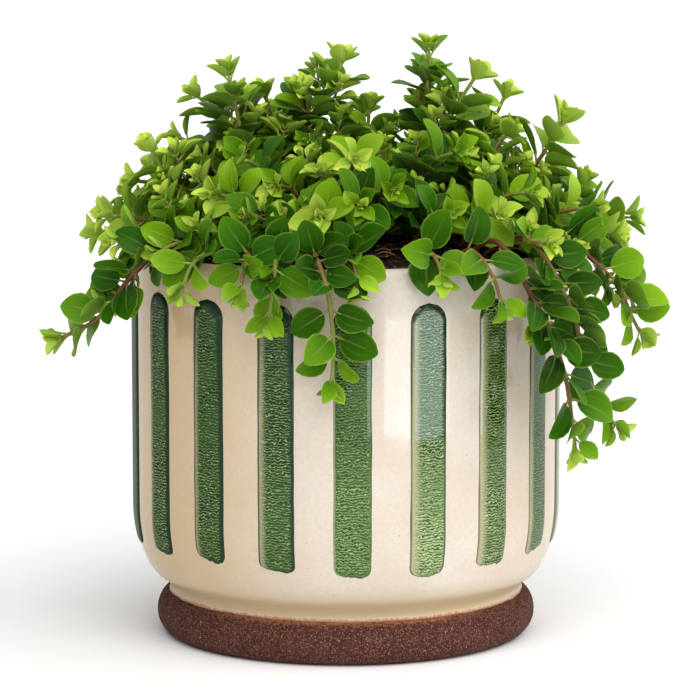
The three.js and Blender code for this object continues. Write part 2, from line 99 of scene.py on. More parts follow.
# Soil
SOIL_EDGE = 134.5
SOIL_CROWN = 141
CLEARANCE = 0.3
SOIL_RADIUS = BODY_RADIUS - WALL - CLEARANCE
SOIL_GRID = 104
SOIL_LUMPS = [(1.1, 6), (0.8, 2.6), (0.5, 1.3)]  # height and spread of clods, lumps and crumbs
HOLE_DEPTH = 6
CRUMBS, FIBRES = 31, 47  # channels of their draws
ROUND = 6.28  # about a full turn
FIBRE_STEPS = 8
FIBRE_RADIUS = 0.22

# Stems and leaves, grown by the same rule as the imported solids
STEM_RADIUS = 1
LEAF_LENGTH = 12.6
LEAF_ROOT = 0.3
LEAF_THICKNESS = 1.1
LEAF_STALK = 0.18  # part of a leaf's length, beyond the stem's skin
LEAF_WIDTH = 0.82  # part of its length
YOUNG_WIDTH = 0.7
LEAF_CUP = 0.08
LEAF_OUTLINE = [(0.26, 0.46), (0.7, 0.44)]
YOUNG_OUTLINE = [(0.46, 0.5)]
RIB_PEAK = 0.48
RIB_LIFT = 0.1
TIP_BACK = 5  # a stem ends this far short of its route, which its youngest leaves reach
LEAF_SITES = [7.5, 14, 21.5, 30, 39, 48]
BARE_JOINTS = [57, 67, 78, 90]
LEAF_GROWTH = [0.68, 0.94, 1.05, 1.05, 1, 1]
YOUNG_SIZE = 0.78
BARE_FOOT = 8
GAP = 0.4
YOUNG_OPENING = 52
OPENING = 30
SHRINKS = [1, 0.84, 0.68]
LIFTS = [0, 16, -16, 32]
TURNS = [0, 18, -18, 36, -36]
YOUNG_SITES = 2
TIP_PULL = {"young": 0.7, "grown": 0.2}
LIGHT_PULL = 0.15
INWARD_PULL = 0.7
INWARD_LIMIT = 0.1
PAIR_TURN = 90
STRAY_TURN = 24
STRIDES = [0.94, 1.06]
VIGOURS = [0.9, 1.06]
SIZES = [0.92, 1.06]
LIGHT_HEART = 85
GOLDEN_ANGLE = math.pi * (3 - math.sqrt(5))
SEED = 20260
RULED_STEMS = 14
RULED_RISES = [12, 52, 30]
RULED_REACH = 94
RULED_CLIMB = 72
RULED_HEART = 122
RULED_ROOTS = [22, 34]
LEAN_RISE = 0.85
RIM_PASS = 6.5
CURVE_STEPS = 60
FOOT_LIFT = 1.5
FOOT_REACH = 4
MOVES = 40
LINE_TURNS = 20  # tries of the clearance test
WORD = 0xFFFFFFFF

# Stems that stand up or hang: the root on the soil, then the route that the stem takes to its tip.
ROUTED_STEMS = [
    # upright stems over the crown
    ((-30, -2), [(-35, 0, 167), (-38, 2, 183), (-42, 2, 201)]),
    ((-38, 8), [(-34, 10, 155), (-44, 12, 180), (-56, 10, 191)]),
    ((-22, 16), [(-22, 18, 158), (-26, 20, 179), (-30, 18, 192)]),
    ((-6, 8), [(-16, 10, 173), (-6, 8, 189), (0, 6, 205)]),
    ((24, 14), [(30, 14, 165), (30, 14, 187), (29, 12, 209)]),
    ((26, 0), [(33, 2, 173), (41, 2, 189), (48, 0, 199)]),
    ((36, 20), [(44, 22, 165), (53, 22, 180), (58, 22, 192)]),
    ((38, 4), [(57, 4, 152), (70, 2, 170), (78, 0, 185)]),
    ((6, 30), [(5, 32, 160), (8, 34, 176), (8, 34, 187)]),
    ((-44, -10), [(-51, -10, 152), (-63, -14, 164), (-68, -16, 176)]),
    # stems that hang over the rim
    ((-50, -40), [(-60, -46, 142), (-72, -50, 132), (-84, -48, 117), (-101, -44, 108)]),
    ((-42, -52), [(-46, -60, 141), (-52, -66, 136), (-55, -68, 125)]),
    ((-34, -56), [(-32, -68, 141), (-34, -74, 135), (-35, -76, 125)]),
    ((-24, -58), [(-23, -72, 141), (-24, -80, 131), (-26, -81, 116)]),
    ((-10, -58), [(-10, -73, 141), (-6, -82, 131), (-4, -83, 113), (-5, -82, 95)]),
    ((2, -56), [(1, -72, 142), (3, -80, 137), (4, -82, 128)]),
    ((56, -22), [(71, -29, 144), (91, -34, 129), (98, -34, 116), (103, -34, 106)]),
    ((40, -44), [(51, -57, 144), (63, -66, 125), (73, -64, 102), (78, -62, 71)]),
    ((50, -34), [(62, -46, 144), (76, -54, 121), (82, -54, 97), (94, -52, 77)]),
    ((36, -52), [(42, -64, 142), (49, -73, 134), (53, -76, 120)]),
    ((24, -58), [(28, -70, 142), (31, -77, 138), (32, -80, 131)]),
]

# Stems of the mound, which rise and lean out toward the light: where each roots, and its tip.
LEANING_STEMS = [
    ((2, -12), (3, -46, 171)),
    ((8, -24), (17, -54, 161)),
    ((-10, -18), (-26, -46, 162)),
    ((-20, -12), (-39, -34, 170)),
    ((-6, -38), (-9, -71, 154)),
    ((22, -34), (37, -60, 154)),
    ((32, -26), (54, -54, 153)),
    ((55, -18), (89, -28, 153)),
    ((-4, 0), (-14, -20, 175)),
    ((18, -10), (42, -30, 172)),
    ((-26, -26), (-47, -46, 159)),
    ((-44, -4), (-77, -14, 161)),
    ((-54, -14), (-86, -26, 150)),
    ((-52, -28), (-80, -48, 143)),
    ((-20, -36), (-35, -62, 153)),
    ((40, -18), (66, -36, 159)),
    ((-44, -36), (-65, -60, 140)),
    ((48, -34), (72, -56, 143)),
    ((4, -34), (5, -66, 157)),
    ((60, -12), (96, -22, 142)),
    ((58, 2), (103, -2, 147)),
]


# ---------- settings ----------


def linear(hex_colour):
    """An sRGB hex colour as linear red, green and blue with an alpha of 1."""
    channels = [int(hex_colour[i : i + 2], 16) / 255 for i in (1, 3, 5)]
    return [c / 12.92 if c <= 0.04045 else ((c + 0.055) / 1.055) ** 2.4 for c in channels] + [1.0]


def colour_setting(name, description, hex_colour):
    """A colour that a user can change."""
    shown = {"name": name, "description": description, "subtype": "COLOR"}
    return FloatVectorProperty(size=4, min=0, max=1, default=linear(hex_colour), **shown)


def number_setting(name, description, value, **kind):
    """A number that a user can change."""
    return FloatProperty(name=name, description=description, default=value, **kind)


class PotSettings(PropertyGroup):
    glaze: colour_setting("Glaze", "Colour of the glazed wall", "#d9d0c5")
    # Its tan is also the painted shade round the pot's left and far right.
    tan_glaze_and_shade: colour_setting("Warm glaze", "Colour where the glaze runs thin", "#c5a97f")
    neck: colour_setting("Neck", "Colour of the thin glaze above the foot", "#c2ab86")
    clay: colour_setting("Clay", "Colour of the bare stoneware foot", "#40221d")
    halo: colour_setting("Halo", "Colour of the clay beside the glaze's edge", "#a06645")
    glaze_roughness: number_setting(
        "Glaze roughness", "How far the glaze blurs what it reflects", 0.06, subtype="FACTOR"
    )


class StripeSettings(PropertyGroup):
    deep: colour_setting("Deep green", "Colour where the stripe glaze lies thick", "#0e2f05")
    middle: colour_setting("Green", "Colour of most of a stripe", "#436826")
    pale: colour_setting("Pale green", "Colour of the crests, where the glaze is thin", "#a9ba82")
    # Colour of the painted shade along a stripe's right edge and round its top.
    pool: colour_setting("Pool", "Colour of the thick glaze along a stripe's edge", "#12301f")
    # Colour of the painted highlight along a stripe's left edge.
    bare: colour_setting("Bare edge", "Colour where the glaze drew back from an edge", "#b5b189")
    wrinkle: number_setting(
        "Wrinkle spacing", "Distance between crests of the glaze", 1.0 * MM, unit="LENGTH"
    )
    wrinkle_height: number_setting(
        "Wrinkle height", "Height of a crest over its valley", 0.16 * MM, unit="LENGTH"
    )


class SoilSettings(PropertyGroup):
    earth: colour_setting("Earth", "Colour of the potting soil", "#2b1b13")
    bark: colour_setting("Bark", "Colour of bark chips", "#5e3423")
    fibre: colour_setting("Fibre", "Colour of root fibres", "#b08f62")
    crumbs: IntProperty(name="Crumbs", description="Number of crumbs", default=1100, min=0)
    fibres: IntProperty(name="Fibres", description="Number of loose fibres", default=70, min=0)


class PlantSettings(PropertyGroup):
    youngest: colour_setting("Youngest leaf", "Upper side of a leaf in its bud", "#cde458")
    young: colour_setting("Young leaf", "Upper side of a growing leaf", "#80ae15")
    grown: colour_setting("Grown leaf", "Upper side of a full leaf", "#316605")
    old: colour_setting("Old leaf", "Upper side of the oldest leaves", "#112f03")
    underside: colour_setting("Underside", "Lower side of a full leaf", "#6f8d3c")
    stem_green: colour_setting("Green stem", "Stem near its tip", "#7d8a38")
    stem_brown: colour_setting("Brown stem", "Stem near its root", "#804a31")
    side_shoots: number_setting(
        "Side shoots", "Share of the leaf joints that bear a side shoot", 0.8, subtype="FACTOR"
    )


class StageSettings(PropertyGroup):
    distance: number_setting("Camera distance", "Camera to its aim", 1.3, unit="LENGTH")
    pitch: number_setting("Camera pitch", "How far it looks down", math.radians(8), unit="ROTATION")
    lens: number_setting("Lens", "Focal length, in millimetres", 189.8, unit="CAMERA")
    key: number_setting("Key light", "Strength of the broad light in front", 1.93)
    side: number_setting("Side light", "Strength of the broad light from the right", 0.75)
    strip: number_setting("Low softbox", "Power of the softbox that the glaze reflects", 0.27)
    surround: number_setting("Surround", "Mean brightness of the white surround", 0.52)
    slope: number_setting("Slope", "How much brighter the surround is on its lit side", 0.36)
    floor: colour_setting("Floor", "Colour of the floor", "#ffffff")


# ---------- vectors, as tuples with full precision ----------


def add(a, b):
    return (a[0] + b[0], a[1] + b[1], a[2] + b[2])


def subtract(a, b):
    return (a[0] - b[0], a[1] - b[1], a[2] - b[2])


def scale(a, k):
    return (a[0] * k, a[1] * k, a[2] * k)


def dot(a, b):
    return a[0] * b[0] + a[1] * b[1] + a[2] * b[2]


def cross(a, b):
    return (a[1] * b[2] - a[2] * b[1], a[2] * b[0] - a[0] * b[2], a[0] * b[1] - a[1] * b[0])


def length(a):
    return math.sqrt(dot(a, a))


def distance(a, b):
    return length(subtract(a, b))


def unit(a):
    return scale(a, 1 / length(a))


def square_to(a, axis):
    return unit(subtract(a, scale(axis, dot(a, axis))))


def swung(a, b, angle):
    """A line swung from one line toward another that is square to it."""
    return add(scale(a, math.cos(angle)), scale(b, math.sin(angle)))


def ramp(value, low, high):
    """How far a value has come from low to high, eased at both ends."""
    part = min(1, max(0, (value - low) / (high - low)))
    return part * part * (3 - 2 * part)


def draw(stem, item, channel):
    """A fixed draw from 0 to 1 for one item of one stem."""
    bits = ((stem * 7919) ^ (item * 104729) ^ (channel * 1299709) ^ SEED) & WORD
    bits = (bits * 0x9E3779B1) & WORD
    bits = ((bits ^ (bits >> 15)) * 0x85EBCA6B) & WORD
    bits ^= bits >> 13
    return bits / 2**32


def draw_between(ends, stem, item, channel):
    """A fixed draw from one number to another."""
    return ends[0] + (ends[1] - ends[0]) * draw(stem, item, channel)


# ---------- materials ----------

# Inputs of a MapRange node: 0 is the value, 1 and 2 the range it comes from, 3 and 4 where it goes.
ONE, OTHER = 6, 7  # colour inputs of a Mix node, where 0 is how much it takes of the other
COLOURS = {"data_type": "RGBA", "output": 2}  # settings of a Mix node for colours
EASED = {"interpolation_type": "SMOOTHSTEP"}
PRODUCT = {"operation": "MULTIPLY"}
GRITTY = {"Detail": 6, "Roughness": 0.7}  # inputs of a noise with much fine grain


def add_node(material, kind, inputs=None, output=0, stops=None, **settings):
    """Adds a shader node, sets or links its inputs, and returns one of its outputs."""
    tree = material.node_tree
    made = tree.nodes.new("ShaderNode" + kind)
    for name, value in settings.items():
        setattr(made, name, value)
    for place, value in (inputs or {}).items():
        if isinstance(value, bpy.types.NodeSocket):
            tree.links.new(value, made.inputs[place])
        else:
            made.inputs[place].default_value = value
    if stops:
        elements = made.color_ramp.elements
        while len(elements) < len(stops):
            elements.new(0.5)
        for element, (position, colour) in zip(elements, stops):
            element.position = position
            element.color = colour
    return made.outputs[output] if made.outputs else None


def blank_material(name):
    """A material without nodes, and what adds one to it."""
    material = bpy.data.materials.new(name)
    material.use_nodes = True
    material.node_tree.nodes.clear()
    return material, partial(add_node, material)


def surfaced(material, inputs):
    """Closes a material with one Principled shader."""
    add_node(material, "OutputMaterial", {"Surface": add_node(material, "BsdfPrincipled", inputs)})
    return material


def clouds(node, place, size, detail, reach, **style):
    """Soft clouds of one size, in metres, as a number: reach holds the inputs of its MapRange."""
    soft = node("TexNoise", {"Vector": place, "Scale": 1 / size, "Detail": detail})
    return node("MapRange", {0: soft, **reach}, **style)


def spots(node, place, spacing, size, share, strength):
    """Round spots of one size: a share of the cells of this spacing, in metres, has one."""
    far = node("TexVoronoi", {"Vector": place, "Scale": 1 / spacing}, "Distance")
    near = node("MapRange", {0: far, 1: size / spacing, 2: 0.5 * size / spacing, 4: strength})
    lot = node("SeparateColor", {0: far.node.outputs["Color"]})
    chosen = node("Math", {0: lot, 1: share}, operation="LESS_THAN")
    return node("Math", {0: near, 1: chosen}, **PRODUCT)


def clear_glaze(settings):
    """Clear glaze over buff slip, dipped and fired: glossy warm cream with fine iron specks.

    Round the pot's left and far right it darkens to tan, which is painted shade, and it warms to
    tan where it thins above the foot.
    """
    material, node = blank_material("clear_glaze_on_buff_slip")
    place = node("TexCoord", output="Object")
    height = node("SeparateXYZ", {0: place}, 2)
    # Painted shade: the glaze darkens to tan toward the pot's left.
    aside = node("MapRange", {0: height.node.outputs[0], 1: 10 * MM, 2: -75 * MM}, **EASED)
    colour = node("Mix", {0: aside, ONE: settings.glaze, OTHER: settings.tan_glaze_and_shade}, **COLOURS)
    # Painted shade: it also darkens to tan round the pot's far right.
    right_painted_shade = node("MapRange", {0: height.node.outputs[0], 1: 42 * MM, 2: 78 * MM, 4: 0.5}, **EASED)
    colour = node("Mix", {0: right_painted_shade, ONE: colour, OTHER: settings.tan_glaze_and_shade}, **COLOURS)
    drift = clouds(node, place, 28 * MM, 3, {1: 0.35, 2: 0.7, 4: 0.3}, **EASED)
    colour = node("Mix", {0: drift, ONE: colour, OTHER: settings.tan_glaze_and_shade}, **COLOURS)
    mottle = clouds(node, place, 1.3 * MM, 5, {1: 0.35, 2: 0.75, 4: 0.2})
    colour = node("Mix", {0: mottle, ONE: colour, OTHER: linear("#b4946a")}, **COLOURS)
    thin = node("MapRange", {0: height, 1: 30 * MM, 2: 18.5 * MM}, **EASED)
    colour = node("Mix", {0: thin, ONE: colour, OTHER: settings.neck}, **COLOURS)
    roll = node("MapRange", {0: height, 1: 16.8 * MM, 2: 16.2 * MM, 4: 0.4}, **EASED)
    colour = node("Mix", {0: roll, ONE: colour, OTHER: linear("#cdbb9f")}, **COLOURS)
    streaks = node("VectorMath", {0: place, 1: (1.0, 1.0, 0.2)}, **PRODUCT)
    streaks = clouds(node, streaks, 0.7 * MM, 2, {3: -1.1 * MM, 4: 1.1 * MM})
    ragged = node("Math", {0: height, 1: streaks}, operation="ADD")
    edge = node("MapRange", {0: ragged, 1: 16.2 * MM, 2: 15.5 * MM, 4: 0.8}, **EASED)
    colour = node("Mix", {0: edge, ONE: colour, OTHER: settings.halo}, **COLOURS)
    specks = spots(node, place, 4.5 * MM, 0.32 * MM, 0.2, 0.55)
    colour = node("Mix", {0: specks, ONE: colour, OTHER: linear("#5c3b25")}, **COLOURS)
    ripple = node("TexNoise", {"Vector": place, "Scale": 1 / (5 * MM), "Detail": 1})
    relief = node("Bump", {"Height": ripple, "Distance": 0.02 * MM})
    dull = node("MapRange", {0: thin, 3: settings.glaze_roughness, 4: 0.4})
    gloss = {"Roughness": dull, "IOR": 1.5}
    return surfaced(material, {"Base Color": colour, "Normal": relief, **gloss})


def stripe_glaze(settings):
    """Copper-green glaze that crawled into wrinkles: deep in its valleys, pale where it broke thin.

    A clear coat gives its shine, which is fullest from the middle of the pot to its right.
    """
    material, node = blank_material("copper_green_crawled_glaze")
    place = node("TexCoord", output="Object")
    height = node("SeparateXYZ", {0: place}, 2)
    turns = node("Math", {0: height, 1: 2 * math.pi / settings.wrinkle}, **PRODUCT)
    for size, reach in [(3.0 * MM, 6), (1.1 * MM, 5.5)]:
        bend = clouds(node, place, size, 1, {3: -reach, 4: reach})
        turns = node("Math", {0: turns, 1: bend}, operation="ADD")
    folds = node("Math", {0: turns}, operation="SINE")
    folds = node("MapRange", {0: folds, 1: -1.0, 2: 1.0, 3: -0.25, 4: 1.05})
    fine = clouds(node, place, 0.5 * MM, 2, {3: -0.4, 4: 0.4})
    field = node("Attribute", output="Fac", attribute_name="field")
    level = node("MapRange", {0: field, 3: 0.5, 4: folds}, clamp=False)
    level = node("Math", {0: level, 1: fine}, operation="ADD")
    # Painted shade: darker on the stripes round the pot's left and far right.
    thin = node("Attribute", output="Fac", attribute_name="thin")
    shade = node("Math", {0: level, 1: thin}, operation="ADD")
    tones = [(0.0, settings.deep), (0.38, settings.middle), (0.8, settings.pale)]
    colour = node("ValToRGB", {0: shade}, stops=tones)
    drift = clouds(node, place, 16 * MM, 3, {1: 0.4, 2: 0.65, 4: 0.4}, **EASED)
    colour = node("Mix", {0: drift, ONE: colour, OTHER: settings.middle}, **COLOURS)
    # Painted highlight along the stripe's left edge.
    painted_edge_highlight = node("Attribute", output="Fac", attribute_name="painted_edge_highlight")
    painted_edge_highlight = node("MapRange", {0: painted_edge_highlight, 4: 0.85})
    colour = node("Mix", {0: painted_edge_highlight, ONE: colour, OTHER: settings.bare}, **COLOURS)
    # Painted shade along the stripe's right edge and round its edge.
    painted_edge_shade = node("Attribute", output="Fac", attribute_name="painted_edge_shade")
    painted_edge_shade = node("MapRange", {0: painted_edge_shade, 4: 0.92})
    colour = node("Mix", {0: painted_edge_shade, ONE: colour, OTHER: settings.pool}, **COLOURS)
    relief = node("Bump", {"Height": level, "Distance": settings.wrinkle_height})
    east = height.node.outputs[0]
    glassy = node("MapRange", {0: east, 1: -60 * MM, 2: 15 * MM, 3: 0.25, 4: 0.85})
    body = {"Roughness": 0.35, "IOR": 1.5, "Specular IOR Level": 0.0}
    coat = {"Coat Weight": glassy, "Coat Roughness": 0.03}
    return surfaced(material, {"Base Color": colour, "Normal": relief, **body, **coat})


def stoneware(settings):
    """Unglazed red-brown stoneware, thrown and sponged: dry and matt, with pale grog and dark pits.

    In front it has an orange halo beside the glaze.
    """
    material, node = blank_material("unglazed_red_stoneware")
    place = node("TexCoord", output="Object")
    parts = node("SeparateXYZ", {0: place})
    blotch = clouds(node, place, 6 * MM, 5, {1: 0.3, 2: 0.7}, **EASED)
    colour = node("Mix", {0: blotch, ONE: settings.clay, OTHER: linear("#4e2c26")}, **COLOURS)
    rings = node("VectorMath", {0: place, 1: (0.08, 0.08, 1.0)}, **PRODUCT)
    rings = clouds(node, rings, 0.9 * MM, 2, {1: 0.4, 2: 0.7, 4: 0.4}, **EASED)
    colour = node("Mix", {0: rings, ONE: colour, OTHER: linear("#351a15")}, **COLOURS)
    sand = clouds(node, place, 0.42 * MM, 1, {1: 0.5, 2: 0.72, 4: 0.5}, **EASED)
    colour = node("Mix", {0: sand, ONE: colour, OTHER: linear("#96705f")}, **COLOURS)
    grog = spots(node, place, 0.8 * MM, 0.28 * MM, 0.7, 0.5)
    colour = node("Mix", {0: grog, ONE: colour, OTHER: linear("#a98674")}, **COLOURS)
    coarse = spots(node, place, 2.4 * MM, 0.3 * MM, 0.3, 0.7)
    colour = node("Mix", {0: coarse, ONE: colour, OTHER: linear("#cdb09a")}, **COLOURS)
    pits = spots(node, place, 1.6 * MM, 0.36 * MM, 0.4, 0.6)
    colour = node("Mix", {0: pits, ONE: colour, OTHER: linear("#2c1512")}, **COLOURS)
    ragged = clouds(node, place, 1.1 * MM, 3, {3: -2.2 * MM, 4: 2.2 * MM})
    level = node("Math", {0: ragged, 1: parts.node.outputs[2]}, operation="ADD")
    halo = node("MapRange", {0: level, 1: 13.6 * MM, 2: 15.4 * MM, 4: 0.8}, **EASED)
    depth = parts.node.outputs[1]
    front = node("MapRange", {0: depth, 1: -36 * MM, 2: -56 * MM, 3: 0.1}, **EASED)
    halo = node("Math", {0: halo, 1: front}, **PRODUCT)
    colour = node("Mix", {0: halo, ONE: colour, OTHER: settings.halo}, **COLOURS)
    grain = node("TexNoise", {"Vector": place, "Scale": 1 / (0.9 * MM), **GRITTY, "Detail": 4})
    relief = node("Bump", {"Height": grain, "Distance": 0.25 * MM})
    matt = {"Roughness": 0.9, "Specular IOR Level": 0.1}
    return surfaced(material, {"Base Color": colour, "Normal": relief, **matt})


def earth(settings):
    """Peat potting soil: black-brown and crumbly, with no gloss."""
    material, node = blank_material("peat_soil")
    place = node("TexCoord", output="Object")
    clumps = node("TexNoise", {"Vector": place, "Scale": 1 / (2.5 * MM), **GRITTY})
    clumps = node("MapRange", {0: clumps, 1: 0.35, 2: 0.7}, **EASED)
    colour = node("Mix", {0: clumps, ONE: linear("#120a07"), OTHER: settings.earth}, **COLOURS)
    chips = spots(node, place, 3 * MM, 0.9 * MM, 0.25, 0.7)
    colour = node("Mix", {0: chips, ONE: colour, OTHER: settings.bark}, **COLOURS)
    crumbs = node("TexNoise", {"Vector": place, "Scale": 1 / (1.2 * MM), **GRITTY})
    relief = node("Bump", {"Height": crumbs, "Distance": 0.8 * MM})
    matt = {"Roughness": 0.95, "Specular IOR Level": 0.2}
    return surfaced(material, {"Base Color": colour, "Normal": relief, **matt})


def loose_bits(settings):
    """Crumbs of peat, chips of bark and dry fibres: each has a tone, from black-brown to straw."""
    material, node = blank_material("bark_and_fibre")
    place = node("TexCoord", output="Object")
    tone = node("Attribute", output="Fac", attribute_name="tone")
    dry = [(0.8, settings.bark), (1.0, settings.fibre)]
    tones = [(0.0, linear("#150c08")), (0.55, settings.earth), *dry]
    colour = node("ValToRGB", {0: tone}, stops=tones)
    rough = node("TexNoise", {"Vector": place, "Scale": 1 / (0.8 * MM), "Detail": 4})
    shade = node("MapRange", {0: rough, 4: 0.5})
    colour = node("Mix", {0: shade, ONE: colour, OTHER: linear("#1b100b")}, **COLOURS)
    relief = node("Bump", {"Height": rough, "Distance": 0.3 * MM})
    return surfaced(material, {"Base Color": colour, "Normal": relief, "Roughness": 0.9})


def leaf_surface(settings, underside):
    """Fleshy leaf: waxy skin over soft green flesh, which lets a little light through.

    It has a faint rib, a pair of side veins and a thin light margin, which its own UV map places.
    """
    material, node = blank_material("leaf_underside" if underside else "waxy_leaf")
    place = node("TexCoord", output="Object")
    tone = node("Attribute", output="Fac", attribute_name="tone")
    fresh = [(0.0, settings.youngest), (0.3, settings.young)]
    tones = [*fresh, (0.65, settings.grown), (1.0, settings.old)]
    colour = node("ValToRGB", {0: tone}, stops=tones)
    if underside:
        colour = node("Mix", {0: 0.5, ONE: colour, OTHER: settings.underside}, **COLOURS)
    else:
        chance = node("Attribute", output="Fac", attribute_name="chance")
        cool = node("MapRange", {0: chance, 1: 0.55, 2: 1.0, 4: 0.35}, **EASED)
        colour = node("Mix", {0: cool, ONE: colour, OTHER: linear("#2f6a20")}, **COLOURS)
        cells = clouds(node, place, 0.9 * MM, 3, {4: 0.28})
        colour = node("Mix", {0: cells, ONE: colour, OTHER: linear("#234d06")}, **COLOURS)
    blade = node("SeparateXYZ", {0: node("UVMap", uv_map="blade")})
    across = node("MapRange", {0: blade, 3: -1.0, 4: 1.0})
    across = node("Math", {0: across}, operation="ABSOLUTE")
    fade = node("MapRange", {0: blade.node.outputs[1], 1: 1.0, 2: 0.25}, **EASED)
    rib = node("MapRange", {0: across, 1: 0.11, 2: 0.02}, **EASED)
    rib = node("Math", {0: rib, 1: fade}, **PRODUCT)
    off_vein = node("Math", {0: across, 1: 0.5}, operation="SUBTRACT")
    off_vein = node("Math", {0: off_vein}, operation="ABSOLUTE")
    vein = node("MapRange", {0: off_vein, 1: 0.07, 2: 0.01, 4: 0.3}, **EASED)
    vein = node("Math", {0: vein, 1: fade}, **PRODUCT)
    grooves = node("Math", {0: rib, 1: vein}, operation="ADD")
    edge = node("MapRange", {0: across, 1: 0.86, 2: 0.99, 4: 0.8}, **EASED)
    faint = node("Math", {0: grooves, 1: 0.5}, **PRODUCT)
    light = node("Math", {0: faint, 1: edge}, operation="MAXIMUM")
    light = node("MapRange", {0: light, 4: 0.26})
    colour = node("Mix", {0: light, ONE: colour, OTHER: linear("#b9cc6c")}, **COLOURS)
    skin = clouds(node, place, 0.5 * MM, 2, {4: 0.35})
    sunk = node("Math", {0: skin, 1: grooves}, operation="SUBTRACT")
    relief = node("Bump", {"Height": sunk, "Distance": (-0.12 if underside else 0.16) * MM})
    flesh = {"Subsurface Weight": 0.22, "Subsurface Scale": 0.9 * MM}
    flesh["Subsurface Radius"] = (0.6, 1.0, 0.06)
    gloss = {"Roughness": 0.55 if underside else 0.3, "IOR": 1.45, "Specular IOR Level": 0.17}
    gloss["Specular Tint"] = linear("#e2f290")
    return surfaced(material, {"Base Color": colour, "Normal": relief, **flesh, **gloss})


def stem_skin(settings):
    """Juicy stem skin: pale green near the tip, olive and red-brown with age, with fine streaks."""
    material, node = blank_material("stem_skin")
    place = node("TexCoord", output="Object")
    tone = node("Attribute", output="Fac", attribute_name="tone")
    aged = [(0.7, settings.stem_brown), (1.0, linear("#45271c"))]
    tones = [(0.0, linear("#9db04a")), (0.35, settings.stem_green), *aged]
    colour = node("ValToRGB", {0: tone}, stops=tones)
    streaks = clouds(node, place, 1.3 * MM, 4, {4: 0.35})
    colour = node("Mix", {0: streaks, ONE: colour, OTHER: linear("#665628")}, **COLOURS)
    grain = node("TexNoise", {"Vector": place, "Scale": 1 / (0.7 * MM), "Detail": 3})
    relief = node("Bump", {"Height": grain, "Distance": 0.1 * MM})
    flesh = {"Subsurface Weight": 0.1, "Subsurface Scale": 0.6 * MM}
    gloss = {"Roughness": 0.5, "Specular IOR Level": 0.3}
    return surfaced(material, {"Base Color": colour, "Normal": relief, **flesh, **gloss})


def floor_paint(settings):
    """Matt white studio floor."""
    material, node = blank_material("matt_white_floor")
    place = node("TexCoord", output="Object")
    faint = node("TexNoise", {"Vector": place, "Scale": 3})
    faint = node("MapRange", {0: faint, 4: 0.04})
    colour = node("Mix", {0: faint, ONE: settings.floor, OTHER: linear("#eeeeee")}, **COLOURS)
    return surfaced(material, {"Base Color": colour, "Roughness": 0.9, "Specular IOR Level": 0.2})


# ---------- pieces ----------


def mesh_of(bm, name):
    """Turns a bmesh into a mesh."""
    mesh = bpy.data.meshes.new(name)
    bm.to_mesh(mesh)
    bm.free()
    return mesh


def finished(name, bm, materials, slot=None, nodes=()):
    """Makes an object of a mesh worked out in millimetres, and hands it to the frame."""
    bmesh.ops.scale(bm, vec=(MM, MM, MM), verts=bm.verts)
    mesh = mesh_of(bm, name)
    for material in materials:
        mesh.materials.append(material)
    piece = bpy.data.objects.new(name, mesh)
    bpy.context.scene.collection.objects.link(piece)
    if slot:
        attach(piece, "root")
        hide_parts(*nodes)
    return piece


def smooth(bm):
    for face in bm.faces:
        face.smooth = True


def open_edges(bm):
    return [edge for edge in bm.edges if edge.is_boundary]


def extruded(bm, edges, kind):
    """Extrudes edges and returns the new points or edges."""
    made = bmesh.ops.extrude_edge_only(bm, edges=edges)["geom"]
    return [item for item in made if isinstance(item, kind)]


def closed(bm, edges=None):
    """Fills an open end of a shell and turns all its faces outward."""
    bmesh.ops.contextual_create(bm, geom=edges or open_edges(bm))
    bmesh.ops.recalc_face_normals(bm, faces=bm.faces)
    smooth(bm)
    return bm


def draw_in(vert, part):
    """Moves a point toward the pot's axis, to this part of its distance."""
    vert.co.x *= part
    vert.co.y *= part


def arc(centre, radii, start, end, steps):
    """Points of an elliptic arc, from one angle to another in degrees."""
    points = []
    for i in range(steps + 1):
        angle = math.radians(start + (end - start) * i / steps)
        out, up = radii[0] * math.cos(angle), radii[1] * math.sin(angle)
        points.append((centre[0] + out, centre[1] + up))
    return points


def spun(outline):
    """An outline of (radius, height) points from axis to axis, spun into a closed body."""
    bm = bmesh.new()
    corners = [bm.verts.new((0, -radius, height)) for radius, height in outline]
    for one, other in zip(corners, corners[1:]):
        bm.edges.new((one, other))
    line = bm.verts[:] + bm.edges[:]
    axis = {"axis": (0, 0, 1), "cent": (0, 0, 0)}
    bmesh.ops.spin(bm, geom=line, angle=2 * math.pi, steps=SPIN_STEPS, use_merge=True, **axis)
    bmesh.ops.remove_doubles(bm, verts=bm.verts, dist=NEAR)
    bmesh.ops.recalc_face_normals(bm, faces=bm.faces)
    smooth(bm)
    return bm


def glazed_body():
    """The glazed wall: bowl, rolled lip, upright wall, belly and neck, and its wavy lower edge."""
    inside, corner = BODY_RADIUS - WALL, WAIST_RADIUS - WALL
    bowl = [(0, FLOOR), (corner - BOWL_CORNER[0], FLOOR), (corner, FLOOR + BOWL_CORNER[1])]
    bowl += [(inside, height) for height in BOWL_HEIGHTS]
    lip = arc(LIP_CENTRE, (LIP_RADIUS, LIP_RADIUS), 180, 10, 12)
    wall = UNDER_LIP + [(BODY_RADIUS, height) for height in WALL_HEIGHTS]
    bulge = (BODY_RADIUS - WAIST_RADIUS, BELLY_TOP - BELLY_BASE)
    belly = arc((WAIST_RADIUS, BELLY_TOP), bulge, 0, -78, 16)
    base = GLAZE_EDGE[-1][1]
    bm = spun(bowl + lip + wall + belly + NECK + GLAZE_EDGE + [(CORE_RADIUS, base), (0, base)])
    for vert in bm.verts:
        radius = math.hypot(vert.co.x, vert.co.y)
        if radius > EDGE_BOUNDS[0] and vert.co.z < EDGE_BOUNDS[1]:
            wave = sum(tall * noise.noise(vert.co / wide) for tall, wide in EDGE_WAVES)
            vert.co.z += wave
            draw_in(vert, 1 - 0.6 * wave / radius)
    return bm


